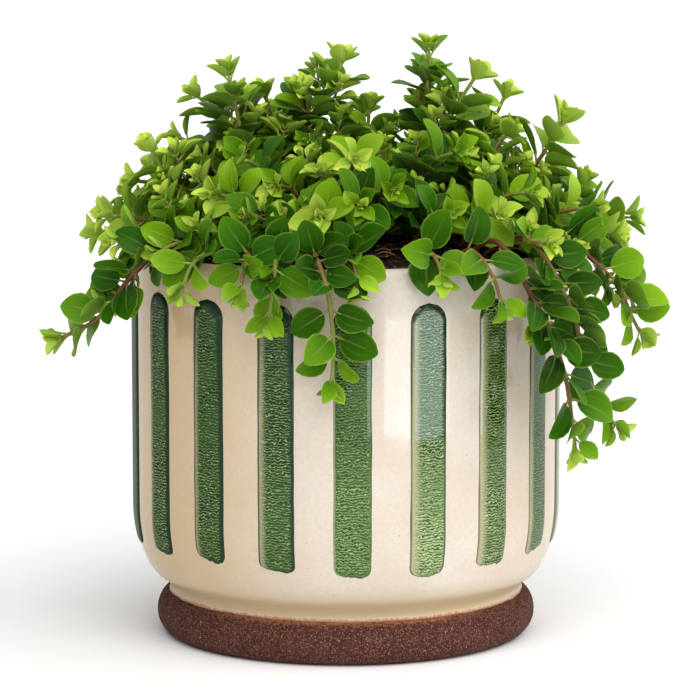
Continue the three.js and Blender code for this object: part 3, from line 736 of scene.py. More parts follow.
def foot():
    """The foot: a thick rounded ring with a shallow hollow under it."""
    half = FOOT_HEIGHT / 2
    bm = spun(FOOT_HOLLOW + arc((FOOT_CORE, half), (FOOT_BULGE, half), -88, 72, 18) + FOOT_TOP)
    inmost, low, high = FOOT_SIDE
    tall, wide = FOOT_WAVE
    for vert in bm.verts:
        radius = math.hypot(vert.co.x, vert.co.y)
        if radius > inmost and low < vert.co.z < high:
            draw_in(vert, 1 + tall * noise.noise(vert.co / wide) / radius)
    return bm


def stripe_shape(number):
    """What sets one stripe apart: its lean, corners and edges, how deep its wrinkles are, and how
    dark its painted shade makes it.

    Its right edge and top carry a dark band of painted shade, and its left edge a pale band of
    painted highlight. Round the pot's far right the shade band is wider and the highlight narrower.
    """
    degrees = (360 * number / STRIPES + 180) % 360 - 180
    turn = math.radians(degrees)
    away = ramp(degrees, 42, 75)
    # The first width is of the painted shade along a stripe's right edge, the second of the painted
    # highlight along its left edge; both follow how the light falls round the pot.
    if number == 0:
        pool, bare = 0.35, 0.4
    else:
        pool = 1.15 - 0.9 * math.sin(turn) * (1 - away) + 0.4 * draw(number, 6, 20)
        bare = 1.5 + 0.5 * max(0, math.sin(turn)) + 0.5 * draw(number, 7, 20) - 1.3 * away
    return {
        "slant": 1.6 * (draw(number, 3, 20) - 0.5),
        "foot": STRIPE_FEET.get(number, 1.2 * (draw(number, 4, 20) - 0.5)),
        "corner": 2.4 + 1.6 * draw(number, 5, 20),
        "pool": pool,
        "bare": bare,
        "folds": STRIPE_FOLDS.get(number, 1.0),
        # Painted shade: the stripes round the left and the far right are darker. Fade makes a
        # stripe lighter toward its foot, most on the stripe 20 degrees right of the front.
        "thin": -0.22 - 0.46 * ramp(-degrees, 0, 35) - 0.3 * away,
        "fade": 0.1 + 0.26 * math.exp(-(((degrees - 20) / 14) ** 2)),
        "seed": 13.7 * number,
    }


def stripe(number):
    """One stripe: a thin raised pad of glaze with an arched top and uneven lower corners."""
    shape = stripe_shape(number)
    seed, corner = shape["seed"], shape["corner"]
    bm = bmesh.new()
    bmesh.ops.create_grid(bm, x_segments=STRIPE_COLUMNS, y_segments=STRIPE_ROWS, size=1)
    looks = ("field", "thin", "painted_edge_shade", "painted_edge_highlight")  # what its glaze reads: wrinkle depth, painted shade over the stripe, and painted shade and highlight at its edges
    field, thin, painted_edge_shade, painted_edge_highlight = (bm.verts.layers.float.new(look) for look in looks)
    half = STRIPE_WIDTH / 2
    spring = STRIPE_TOP - half
    turn = STRIPE_TURN + 2 * math.pi * number / STRIPES
    for vert in bm.verts:
        side, part = vert.co.x, (vert.co.y + 1) / 2
        side = math.sin(side * math.pi / 2) * 0.35 + side * 0.65
        low = STRIPE_BOTTOM + shape["foot"] + shape["slant"] * side
        low += 0.5 * noise.noise(Vector((side * 2, seed, 3)))
        height = low + (STRIPE_TOP - low) * part
        wide = half + 0.22 * noise.noise(Vector((height / 14, seed, side > 0)))
        over = max(0, height - spring)
        under = max(0, corner - (height - low))
        if over > 0:
            wide *= math.sqrt(max(0, 1 - (over / half) ** 2))
        if under > 0:
            wide -= corner - math.sqrt(max(0, corner**2 - under**2))
        across = side * wide
        arch = math.hypot(across, over) if over > 0 else abs(across)
        inset = max(0, min(half - arch, wide - abs(across) + 0.01, height - low))
        vert[field] = shape["folds"] * ramp(inset, 0.2, 1.4)
        # Painted shade on the stripes round the left and far right; each stripe also lightens
        # toward its foot.
        vert[thin] = shape["thin"] + shape["fade"] * ramp(height, 88, 55)
        right, left = wide - across, wide + across
        if over > 0:
            left = inset
            right = inset * (0.7 + 0.3 * (across < 0))
        # Painted shade: a dark band up the right edge, wider higher up and round the arch, and a
        # dark line round the edge except on the left below the arch.
        painted_shade_width = shape["pool"] * (1 + 0.7 * ramp(height, 85, 120))
        pool = ramp(min(right, 1.3 * inset + 0.3), painted_shade_width, painted_shade_width * 0.55)
        outline = 0 if across < 0 and over == 0 else 0.75
        vert[painted_edge_shade] = max(pool, outline * ramp(inset, 0.35, 0.1))
        # Painted highlight: a pale band up the left edge, below the arch.
        bare = shape["bare"]
        vert[painted_edge_highlight] = ramp(left, bare * 1.9, bare * 0.3) * ramp(over, 3, 0)
        angle = turn + across / BODY_RADIUS
        level = STRIPE_RELIEF * ramp(inset, -0.4, 1.5)
        reach = wall_radius(height) + level - STRIPE_BEDDING
        vert.co = (reach * math.sin(angle), -reach * math.cos(angle), height)
    for vert in extruded(bm, open_edges(bm), bmesh.types.BMVert):
        draw_in(vert, 1 - STRIPE_DEPTH / math.hypot(vert.co.x, vert.co.y))
    return closed(bm)


def wall_radius(height):
    """Radius of the glazed wall's outside at a height."""
    if height >= BELLY_TOP:
        return BODY_RADIUS
    down = (BELLY_TOP - height) / (BELLY_TOP - BELLY_BASE)
    return WAIST_RADIUS + (BODY_RADIUS - WAIST_RADIUS) * math.sqrt(max(0, 1 - down * down))


# ---------- soil ----------


def soil_height(x, y):
    reach = math.hypot(x, y) / SOIL_RADIUS
    return SOIL_CROWN - (SOIL_CROWN - SOIL_EDGE) * reach * reach


def soil_bed():
    """The soil: a crumbly crown over a body that fills the pot."""
    bm = bmesh.new()
    bmesh.ops.create_grid(bm, x_segments=SOIL_GRID, y_segments=SOIL_GRID, size=1)
    for vert in bm.verts:
        x, y = vert.co.x, vert.co.y
        disc = Vector((x * math.sqrt(1 - y * y / 2), y * math.sqrt(1 - x * x / 2), 0))
        flat = disc * SOIL_RADIUS
        lumps = sum(tall * noise.noise(flat / wide) for tall, wide in SOIL_LUMPS)
        vert.co = (flat.x, flat.y, soil_height(flat.x, flat.y) + lumps)
    base = (WAIST_RADIUS - WALL - CLEARANCE, FLOOR + CLEARANCE)
    for radius, height in [(SOIL_RADIUS, BELLY_TOP), base]:
        for vert in extruded(bm, open_edges(bm), bmesh.types.BMVert):
            out = Vector((vert.co.x, vert.co.y, 0)).normalized() * radius
            vert.co = (out.x, out.y, height)
    return closed(bm)


def scatter_place(item, channel):
    """A fixed place on the soil for one loose bit."""
    reach = (SOIL_RADIUS - 1.5) * math.sqrt(draw(item, 1, channel))
    azimuth = 2 * math.pi * draw(item, 2, channel)
    return reach * math.sin(azimuth), -reach * math.cos(azimuth)


def add_crumb(bm, tone, item):
    """Adds a crumb of soil or, three times in ten, a flat chip of bark."""
    x, y = scatter_place(item, CRUMBS)
    chip = draw(item, 3, CRUMBS) < 0.3
    size = 0.6 + 1.3 * draw(item, 4, CRUMBS) ** 2
    stretch = (2.2 * size, 0.9 * size, 0.4 * size) if chip else (size, size * 0.85, size * 0.7)
    spin = Matrix.Rotation(ROUND * draw(item, 5, CRUMBS), 4, "Z")
    tip = Matrix.Rotation(0.9 * (draw(item, 6, CRUMBS) - 0.5), 4, "X")
    height = soil_height(x, y) + 0.5 + 0.5 * draw(item, 7, CRUMBS)
    place = Matrix.Translation((x, y, height)) @ (spin @ tip) @ Matrix.Diagonal((*stretch, 1))
    shade = (0.75 if chip else 0.25) + 0.3 * (draw(item, 8, CRUMBS) - 0.5)
    for vert in bmesh.ops.create_icosphere(bm, subdivisions=1, radius=1)["verts"]:
        vert.co *= 1 + 0.35 * noise.noise(vert.co * 1.7 + Vector((item, 0, 0)))
        vert.co = place @ vert.co
        vert[tone] = shade


def add_fibre(bm, item):
    """Adds a curled root fibre that arches over the soil."""
    x, y = scatter_place(item, FIBRES)
    azimuth = ROUND * draw(item, 3, FIBRES)
    curl = 2.2 * (draw(item, 4, FIBRES) - 0.5)
    step = (5 + 9 * draw(item, 5, FIBRES)) / FIBRE_STEPS
    points = []
    for stop in range(FIBRE_STEPS + 1):
        part = stop / FIBRE_STEPS
        x += step * math.cos(azimuth + curl * part)
        y += step * math.sin(azimuth + curl * part)
        pull = min(1, (SOIL_RADIUS - 1.2) / max(1, math.hypot(x, y)))
        hump = 1.6 * math.sin(math.pi * part) * draw(item, 6, FIBRES)
        points.append((x * pull, y * pull, soil_height(x * pull, y * pull) + 0.9 + hump))
    tone = 0.85 + 0.15 * draw(item, 7, FIBRES)
    add_strand(bm, points, [FIBRE_RADIUS] * len(points), lambda part: tone)


def soil_bits(settings):
    """Loose crumbs, chips of bark and fibres on the soil."""
    bm = bmesh.new()
    tone = bm.verts.layers.float.new("tone")
    for item in range(settings.crumbs):
        add_crumb(bm, tone, item)
    for item in range(settings.fibres):
        add_fibre(bm, item)
    bmesh.ops.recalc_face_normals(bm, faces=bm.faces)
    return bm


# ---------- where stems run ----------


def leaning_stem(root, tip):
    """A leaning stem's route: it has risen most of the way at half of its reach."""
    x, y = (root[0] + tip[0]) / 2, (root[1] + tip[1]) / 2
    ground = soil_height(x, y)
    return root, [(x, y, max(POT_HEIGHT + RIM_PASS, ground + LEAN_RISE * (tip[2] - ground))), tip]


def back_stems():
    """Stems placed by rule over the back of the mound, some high and some out over the rim."""
    made = []
    for i in range(RULED_STEMS):
        number = len(ROUTED_STEMS) + len(LEANING_STEMS) + i
        side = -100 + (200 * (i + 0.5)) / RULED_STEMS + 8 * (draw(number, 0, 0) - 0.5)
        azimuth = math.radians(side)
        rise = math.radians(RULED_RISES[i % 3] + 10 * (draw(number, 0, 1) - 0.5))
        spread = RULED_REACH * math.cos(rise)
        start = RULED_ROOTS[0] + RULED_ROOTS[1] * math.cos(rise)
        way = (math.sin(azimuth), math.cos(azimuth))
        tip = (spread * way[0], spread * way[1], RULED_HEART + RULED_CLIMB * math.sin(rise))
        made.append(leaning_stem((start * way[0], start * way[1]), tip))
    return made


def curve_point(points, place):
    """A point of the smooth curve through the points, from 0 at the first to 1 at the last."""
    last = len(points) - 1
    spot = last * place
    first = min(int(spot), last - 1)
    part = spot - first
    one, other = points[first], points[first + 1]
    before = points[first - 1] if first > 0 else subtract(scale(one, 2), other)
    after = points[first + 2] if first + 2 <= last else subtract(scale(other, 2), one)
    out = []
    for a, b, c, d in zip(before, one, other, after):
        start, end = 0.5 * (c - a), 0.5 * (d - b)
        bends = (-3 * b + 3 * c - 2 * start - end, 2 * b - 2 * c + start + end)
        out.append(b + start * part + bends[0] * part**2 + bends[1] * part**3)
    return tuple(out)


def stem_joints(root, route, number):
    """The joints of a stem from its tip down to its root, and the points of its smooth curve."""
    ground = soil_height(*root)
    foot_point = (root[0], root[1], ground + FOOT_LIFT)
    points = [foot_point, *route]
    samples = [curve_point(points, 1 - i / CURVE_STEPS) for i in range(CURVE_STEPS + 1)]
    stride = draw_between(STRIDES, number, 0, 2)
    stops = [stop * stride for stop in (TIP_BACK, *LEAF_SITES, *BARE_JOINTS)]
    joints, curve = [], []
    walked = 0
    for one, other in zip(samples, samples[1:]):
        span = subtract(other, one)
        step = length(span)
        while len(joints) < len(stops) and stops[len(joints)] <= walked + step:
            joints.append(add(one, scale(span, (stops[len(joints)] - walked) / step)))
        walked += step
        if joints:
            curve = curve or [joints[0]]
            curve.append(other)
    joints = [joint for joint in joints if distance(joint, foot_point) > FOOT_REACH]
    bottom = (root[0], root[1], ground - HOLE_DEPTH + CLEARANCE)
    return [*joints, foot_point, bottom], [*curve, bottom]


def grow_stem(root, route, number, placed):
    """A stem moved aside by small steps round a spiral until it is clear of what is placed."""
    for step in range(MOVES):
        turn = step * GOLDEN_ANGLE
        shift = (math.sqrt(step) * math.cos(turn), math.sqrt(step) * math.sin(turn), 0)
        moved = {"root": add((*root, 0), shift)[:2], "id": number}
        moved_route = [add(point, shift) for point in route]
        joints, curve = stem_joints(moved["root"], moved_route, number)
        spans = [body_of(span, STEM_RADIUS, number, -1) for span in zip(joints, joints[1:])]
        above_soil = all(point_is_clear(joint, STEM_RADIUS) for joint in joints[:-2])
        if above_soil and all(is_clear_of(span, placed) for span in spans):
            placed.extend(spans)
            return {**moved, "tip": moved_route[-1], "joints": joints, "curve": curve}
    raise RuntimeError(f"stem {number + 1} finds no room")


# ---------- where leaves grow ----------


def leaf_corners(base, along, normal, size):
    """The corners of a leaf's solid."""
    side = cross(normal, along)
    long = LEAF_LENGTH * size
    grown = size > YOUNG_SIZE
    wide = long * (LEAF_WIDTH if grown else YOUNG_WIDTH)
    stalk = LEAF_STALK * long + STEM_RADIUS

    def at(reach, across, lift):
        return add(base, add(scale(along, reach), add(scale(side, across), scale(normal, lift))))

    cup = LEAF_CUP * wide
    peak = stalk + RIB_PEAK * long
    stops = LEAF_OUTLINE if grown else YOUNG_OUTLINE
    edges = []
    for hand in (1, -1):
        edges.append([at(stalk + far * long, hand * across * wide, cup) for far, across in stops])
    faces = [at(peak, 0, RIB_LIFT), at(peak, 0, RIB_LIFT - LEAF_THICKNESS)]
    return [at(LEAF_ROOT, 0, 0), *edges[0], at(stalk + long, 0, 0), *reversed(edges[1]), *faces]


def apart(one, other, gap):
    """Whether two convex bodies lie a gap apart: a line between them is turned until it shows."""
    reach = one["skin"] + other["skin"] + gap
    line = subtract(one["points"][0], other["points"][0])
    for _ in range(LINE_TURNS):
        far = length(line)
        if far < 1e-6:
            return False
        near_one = min(one["points"], key=lambda point: dot(point, line))
        near_other = max(other["points"], key=lambda point: dot(point, line))
        if dot(near_one, line) - dot(near_other, line) >= reach * far:
            return True
        move = subtract(subtract(near_one, near_other), line)
        size = dot(move, move)
        if size < 1e-12:
            return False
        part = min(1, -dot(line, move) / size)
        if part <= 0:
            return False
        line = add(line, scale(move, part))
    return False


def body_of(points, skin, stem, site):
    """A convex body for the clearance test, with the ball that holds it."""
    total = points[0]
    for point in points[1:]:
        total = add(total, point)
    centre = scale(total, 1 / len(points))
    ball = max(distance(point, centre) for point in points) + skin
    sphere = {"centre": centre, "ball": ball}
    return {"points": points, "skin": skin, "stem": stem, "site": site, **sphere}


def rim_bodies():
    """The top of the pot's wall as flat blocks, one to a facet."""
    skin = WALL / 2
    reach = BODY_RADIUS - skin
    blocks = []
    for i in range(POT_SIDES):
        corners = []
        for turn in (i - 0.5, i + 0.5):
            azimuth = STRIPE_TURN + (2 * math.pi * turn) / POT_SIDES
            x, y = reach * math.sin(azimuth), -reach * math.cos(azimuth)
            corners += [(x, y, POT_HEIGHT - skin), (x, y, POT_HEIGHT - 5 * skin)]
        blocks.append(body_of(corners, skin, -1, -1))
    return blocks


def point_is_clear(point, skin):
    """Whether a point of a leaf or stem is clear of the pot and the soil."""
    x, y, z = point
    reach = math.hypot(x, y)
    margin = skin + GAP
    if reach > BODY_RADIUS + STRIPE_RELIEF + margin or z > POT_HEIGHT + margin:
        return True
    return reach < SOIL_RADIUS - margin and z > soil_height(x, y) + margin


def is_clear_of(body, others, gap=GAP):
    """Whether a body is clear of the others, apart from its own stem and its pair."""
    for other in others:
        if other["stem"] == body["stem"] and (other["site"] == body["site"] or other["site"] < 0):
            continue
        far = distance(other["centre"], body["centre"])
        if far <= other["ball"] + body["ball"] + gap and not apart(body, other, gap):
            return False
    return True


def light_at(point):
    """The way that a leaf turns its face: up and out from the heart of the plant."""
    return unit((point[0], point[1], point[2] - LIGHT_HEART))


def place_leaf(joint, stem_way, across, angle, size, stem, site, placed, gap=GAP, allowed=None):
    """One leaf at a joint, turned and shrunk until it is clear of all that is placed, or none."""
    over = cross(stem_way, across)
    light = light_at(joint)
    opening = YOUNG_OPENING if site == 0 else OPENING
    pull = TIP_PULL["young" if site < YOUNG_SITES else "grown"]
    reach = 2 * LEAF_LENGTH
    near = [body for body in placed if distance(body["centre"], joint) < body["ball"] + reach]
    face = add(light, scale(stem_way, pull))
    for shrink, lift, turn in product(SHRINKS, LIFTS, TURNS):
        out = swung(across, over, angle + math.radians(turn))
        way = swung(out, stem_way, math.radians(opening + lift))
        inward = max(0, INWARD_LIMIT - dot(way, light))
        along = unit(add(way, scale(light, LIGHT_PULL + INWARD_PULL * inward)))
        normal = square_to(face, along)
        corners = leaf_corners(joint, along, normal, size * shrink)
        body = body_of(corners, 0, stem, site)
        if allowed and not all(allowed(point) for point in corners):
            continue
        if all(point_is_clear(point, 0) for point in corners) and is_clear_of(body, near, gap):
            placed.append(body)
            return {"base": joint, "along": along, "normal": normal, "size": size * shrink}
    return None


def stem_across(stem):
    """A level line across a stem."""
    x, y = stem["tip"][0] - stem["root"][0] + 0.01, stem["tip"][1] - stem["root"][1] + 0.02
    return unit(cross((0, 0, 1), (x, y, 0)))


def grow_leaves(stem, placed):
    """The leaves of one stem, as in its solid."""
    joints, number = stem["joints"], stem["id"]
    across = stem_across(stem)
    vigour = draw_between(VIGOURS, number, 1, 3)
    start = 360 * draw(number, 1, 4)
    leaves = []
    for site in range(min(len(LEAF_SITES), len(joints) - 3)):
        joint = joints[site + 1]
        if distance(joint, joints[-2]) < BARE_FOOT:
            break
        stem_way = unit(subtract(joints[site], joints[site + 2]))
        level = square_to(across, stem_way)
        for half in (0, 1):
            stray = STRAY_TURN * (draw(number, site, 5 + half) - 0.5)
            angle = math.radians(start + PAIR_TURN * site + 180 * half + stray)
            size = vigour * LEAF_GROWTH[site] * draw_between(SIZES, number, site, 7 + half)
            leaf = place_leaf(joint, stem_way, level, angle, size, number, site, placed)
            if leaf:
                leaf["age"] = site
                leaves.append(leaf)
    return leaves


# ---------- what only shows: buds, more leaves and side shoots ----------

LOWER_SITE = 60  # sites of added leaves are numbered from here
BETWEEN_SITE = 75
SHOOT_SITE = 100
SHOOT_IDS = 50  # shoots are numbered from this multiple of their stem's number
ADDED_GAP = -0.6  # added leaves may press this far on others
ADDED_FOOT = 5  # and grow this near to a stem's foot
BUD_PAIRS = [(0.5, 40, 0.0), (0.36, 56, 1.2), (0.18, 72, 2.0)]  # size, rise in degrees, lift
SHOOT_STOPS = [2, 7, 13, 20, 27]
SHOOT_GROWTH = [0.66, 0.84, 0.94, 1, 1]
SHOOT_STEPS = 12
SHOOT_TURNS = [0, 60, -60, 120, -120, 180]
SHOOT_RADIUS = 0.5
SHOOT_GAP = -0.2
SHOOT_INSET = 3  # its tip stays this far within its stem's tip
SHORT_SHOOTS = (7, 13)
LONG_SHOOTS = (14, 30)  # near a stem's foot
SOIL_VIEW = {"left": 4, "right": 58, "front": -38, "top": 147}  # where the soil is seen
FLANK = 60  # the pot's front lies within this x
FRONT_DEPTH = 20  # and before this y. Added leaves there stay above these heights
LOWEST = {"left": 118, "front": 131, "right": 106}


def keeps_clear(point):
    """Whether a point lies off the pot's front, and out of the place where the soil is seen."""
    x, y, z = point
    beside = SOIL_VIEW["left"] < x < SOIL_VIEW["right"]
    over_soil = beside and y < SOIL_VIEW["front"] and z < SOIL_VIEW["top"]
    lowest = LOWEST["right" if x > FLANK else "left" if x < -FLANK else "front"]
    before_pot = math.hypot(x, y) > BODY_RADIUS - WALL and y < FRONT_DEPTH and z < lowest
    return not over_soil and not before_pot


def grow_bud(stem_id, tip, way, across, vigour, start):
    """The opening bud at a stem's tip: a pair of small upright leaves about folded ones."""
    leaves = []
    over = cross(way, across)
    for pair, (size, rise, lift) in enumerate(BUD_PAIRS):
        for half in (0, 1):
            stray = 20 * (draw(stem_id, pair, 60 + half) - 0.5)
            turn = start + PAIR_TURN * (1 - pair) + 180 * half + stray
            out = swung(across, over, math.radians(turn))
            lean = math.radians(rise + 12 * (draw(stem_id, pair, 62 + half) - 0.5))
            along = unit(swung(out, way, lean))
            grown = vigour * size * draw_between((0.9, 1.1), stem_id, pair, 64 + half)
            leaf = {"base": add(tip, scale(way, lift)), "along": along, "age": -1 - pair}
            leaves.append({**leaf, "normal": square_to(way, along), "size": grown})
    return leaves


def grow_more_leaves(stem, placed):
    """Leaves below the solid's leaves and between its joints, wherever there is room."""
    joints, number = stem["joints"], stem["id"]
    across = stem_across(stem)
    last = len(joints) - 3
    places = [(joints[site + 1], site, LOWER_SITE) for site in range(len(LEAF_SITES), last)]
    for site in range(2, last):
        places.append((scale(add(joints[site], joints[site + 1]), 0.5), site, BETWEEN_SITE))
    leaves = []
    for joint, site, first in places:
        if distance(joint, joints[-2]) < ADDED_FOOT:
            continue
        stem_way = unit(subtract(joints[site], joints[site + 2]))
        level = square_to(across, stem_way)
        for half in (0, 1):
            turn = PAIR_TURN * site + 180 * half + 360 * draw(number, site, first + 9)
            size = draw_between((0.84, 1.02), number, site, first + 11 + half)
            spot = (joint, stem_way, level, math.radians(turn), size, number, first + site, placed)
            leaf = place_leaf(*spot, gap=ADDED_GAP, allowed=keeps_clear)
            if leaf:
                leaves.append({**leaf, "age": min(site, 4), "tilt": 1.0})
    return leaves


def shoot_curve(stem, index, hand, site, reach, turn):
    """The curve of a side shoot from its tip to its joint: out from the stem, then to the light."""
    joints = stem["joints"]
    joint = joints[index]
    stem_way = unit(subtract(joints[index - 1], joints[index + 1]))
    across = square_to(stem_across(stem), stem_way)
    over = cross(stem_way, across)
    angle = 2 * math.pi * draw(stem["id"], site, 12) + math.radians(turn) + math.pi * hand
    out = swung(across, over, angle)
    start = unit(add(out, scale(stem_way, 0.7)))
    end = unit(add(start, scale(light_at(joint), 0.9)))
    middle = add(joint, scale(start, 0.5 * reach))
    points = [joint, middle, add(middle, scale(end, 0.5 * reach))]
    return [curve_point(points, 1 - i / SHOOT_STEPS) for i in range(SHOOT_STEPS + 1)]


def grow_shoot(stem, index, hand, placed, reach):
    """A side shoot with its own leaves, in the first of six directions that is free."""
    number = stem["id"]
    site = SHOOT_SITE + 10 * index + 5 * hand
    shoot_id = SHOOT_IDS * number + site
    heart = (0, 0, LIGHT_HEART)
    outmost = distance(stem["joints"][0], heart) - SHOOT_INSET
    for turn in SHOOT_TURNS:
        curve = shoot_curve(stem, index, hand, site, reach, turn)
        bends = zip(curve[::3], curve[3::3])
        spans = [body_of(bend, SHOOT_RADIUS, number, site) for bend in bends]
        outer = curve[:-3]
        free = all(point_is_clear(point, SHOOT_RADIUS) and keeps_clear(point) for point in outer)
        if not free or distance(curve[0], heart) > outmost:
            continue
        if not all(is_clear_of(span, placed, SHOOT_GAP) for span in spans[:3]):
            continue
        placed.extend(spans)
        way = unit(subtract(curve[0], curve[3]))
        level = square_to(cross(way, light_at(curve[0])), way)
        spin = 360 * draw(number, site, 13)
        vigour = draw_between((0.86, 1.04), number, site, 14)
        leaves = grow_bud(shoot_id, curve[0], way, level, 0.9 * vigour, spin + PAIR_TURN)
        walked = pair = 0
        for one, other in zip(curve, curve[1:]):
            walked += distance(other, one)
            if pair == len(SHOOT_STOPS) or walked < SHOOT_STOPS[pair] or reach - walked < 3:
                continue
            for half in (0, 1):
                angle = math.radians(spin + PAIR_TURN * pair + 180 * half)
                size = vigour * SHOOT_GROWTH[pair]
                size *= draw_between((0.92, 1.08), number, site + pair, 15 + half)
                spot = (other, way, level, angle, size, number, site + pair, placed)
                leaf = place_leaf(*spot, gap=ADDED_GAP, allowed=keeps_clear)
                if leaf:
                    leaves.append({**leaf, "age": pair, "tilt": 1.0})
            pair += 1
        return {"id": shoot_id, "curve": curve, "leaves": leaves}
    return None


def grow_shoots(stem, placed, share):
    """The side shoots of one stem: short ones below its tip and longer ones near its foot."""
    joints, number = stem["joints"], stem["id"]
    shoots = []
    for index in range(3, len(joints) - 1):
        for hand in (0, 1):
            if draw(number, index, 17 + hand) > share:
                continue
            reaches = LONG_SHOOTS if index >= len(joints) - 4 else SHORT_SHOOTS
            reach = draw_between(reaches, number, index, 19 + hand)
            shoot = grow_shoot(stem, index, hand, placed, reach)
            if shoot:
                shoots.append(shoot)
    return shoots


def grow_plant(settings):
    """Every stem with its joints, curve, leaves and side shoots."""
    placed = rim_bodies()
    planned = ROUTED_STEMS + [leaning_stem(*stem) for stem in LEANING_STEMS] + back_stems()
    stems = [grow_stem(root, route, number, placed) for number, (root, route) in enumerate(planned)]
    for stem in stems:
        stem["leaves"] = grow_leaves(stem, placed)
    for stem in stems:
        joints, number = stem["joints"], stem["id"]
        way = unit(subtract(joints[0], joints[1]))
        level = square_to(stem_across(stem), way)
        vigour = draw_between(VIGOURS, number, 1, 3)
        stem["leaves"] += grow_bud(number, joints[0], way, level, vigour, 360 * draw(number, 1, 4))
        stem["leaves"] += grow_more_leaves(stem, placed)
    for stem in stems:
        stem["shoots"] = grow_shoots(stem, placed, settings.side_shoots)
    return stems


# ---------- meshes of stems and leaves ----------

BLADE_COLUMNS = 4
BLADE_ROWS = 8
STRAND_SIDES = 6
STRAND_STEP = 2.2  # a stem's tube has a ring at least this far from the last
STEM_TIP_RADIUS = 0.6
STEM_TAPER = 38  # it thickens over this length from its tip
STEM_BROWNING = 45  # and ages over this one
STEM_SWELL = 0.14  # how much thicker it is at a joint
SHOOT_RADII = (0.4, 0.6)
# How old a pair of leaves looks, by its place from the tip, with the bud's pairs below 0.
LEAF_AGES = {-3: 0.04, -2: 0.12, -1: 0.22, 0: 0.36, 1: 0.5, 2: 0.66, 3: 0.78}
OLD_AGE = 0.9
# How much younger the leaves of some stems look, and those of the first, which stand on the crown.
PALE_STEMS = {21: 0.42, 25: 0.3, 27: 0.34, 31: 0.3, 23: 0.2}
PALE_CROWN = 0.22
CROWN_STEMS = 10


def blade_template():
    """A blade in its own measure: x across from -1 to 1, y along from 0 to 1, z down to -1."""
    bm = bmesh.new()
    uv = bm.loops.layers.uv.new("blade")
    bm.verts.layers.float.new("tone")
    bm.verts.layers.float.new("chance")
    bmesh.ops.create_grid(bm, x_segments=BLADE_COLUMNS, y_segments=BLADE_ROWS, size=1)
    for vert in bm.verts:
        vert.co.y = 0.5 - 0.5 * math.cos(math.pi * (vert.co.y + 1) / 2)
    for face in bm.faces:
        for loop in face.loops:
            loop[uv].uv = (0.5 + 0.5 * loop.vert.co.x, loop.vert.co.y)
    copied = bmesh.ops.duplicate(bm, geom=bm.faces[:])["geom"]
    under = [item for item in copied if isinstance(item, bmesh.types.BMFace)]
    bmesh.ops.reverse_faces(bm, faces=under)
    for vert in {vert for face in under for vert in face.verts}:
        if not vert.is_boundary:
            vert.co.z = -1
    for vert in bm.verts:
        if vert.co.y < NEAR or vert.co.y > 1 - NEAR:
            vert.co.x = 0
    for face in under:
        face.material_index = 1
    bmesh.ops.remove_doubles(bm, verts=bm.verts, dist=NEAR)
    smooth(bm)
    for edge in bm.edges:
        edge.smooth = len({face.material_index for face in edge.link_faces}) == 1
    return mesh_of(bm, "blade")


def strand_template(rings):
    """A closed tube in its own measure: sides on a unit circle, and a ring at each whole height."""
    bm = bmesh.new()
    bm.verts.layers.float.new("tone")
    bm.verts.layers.float.new("chance")
    ring = bmesh.ops.create_circle(bm, segments=STRAND_SIDES, radius=1, cap_ends=False)["verts"]
    edges = list({edge for vert in ring for edge in vert.link_edges})
    bmesh.ops.contextual_create(bm, geom=edges)
    for _ in range(rings - 1):
        edges = [edge for edge in extruded(bm, edges, bmesh.types.BMEdge) if edge.is_boundary]
        ring = list({vert for edge in edges for vert in edge.verts})
        bmesh.ops.translate(bm, vec=(0, 0, 1), verts=ring)
    return mesh_of(closed(bm, edges), "strand")


TEMPLATES = {}


def template(kind, *key):
    """A template's mesh, made when first asked for."""
    if (kind, key) not in TEMPLATES:
        TEMPLATES[kind, key] = kind(*key)
    return TEMPLATES[kind, key]


def wrap(bm, mesh, place, tone, chance=0.0):
    """Adds a template's mesh and puts each of its points where a rule says, with its tone."""
    start = len(bm.verts)
    bm.from_mesh(mesh)
    bm.verts.ensure_lookup_table()
    tones = bm.verts.layers.float["tone"]
    chances = bm.verts.layers.float.get("chance")
    for vert in bm.verts[start:]:
        vert[tones] = tone(vert.co)
        if chances:
            vert[chances] = chance
        vert.co = place(vert.co)


def path_frames(points):
    """Two lines across a path at each of its points, which turn with it."""
    ways = []
    for i in range(len(points)):
        one, other = points[max(0, i - 1)], points[min(len(points) - 1, i + 1)]
        ways.append(unit(subtract(other, one)))
    start = (1, 0, 0) if abs(ways[0][0]) < 0.8 else (0, 1, 0)
    side = square_to(start, ways[0])
    frames = []
    for way in ways:
        side = square_to(side, way)
        frames.append((side, cross(way, side)))
    return frames


def add_strand(bm, points, radii, tone):
    """Adds a tube along points with a radius at each. Its tone follows the way from its start."""
    frames = path_frames(points)
    last = len(points) - 1

    def place(co):
        ring = round(co.z)
        side, over = frames[ring]
        radius = radii[ring]
        return add(points[ring], add(scale(side, co.x * radius), scale(over, co.y * radius)))

    wrap(bm, template(strand_template, len(points)), place, lambda co: tone(round(co.z) / last))


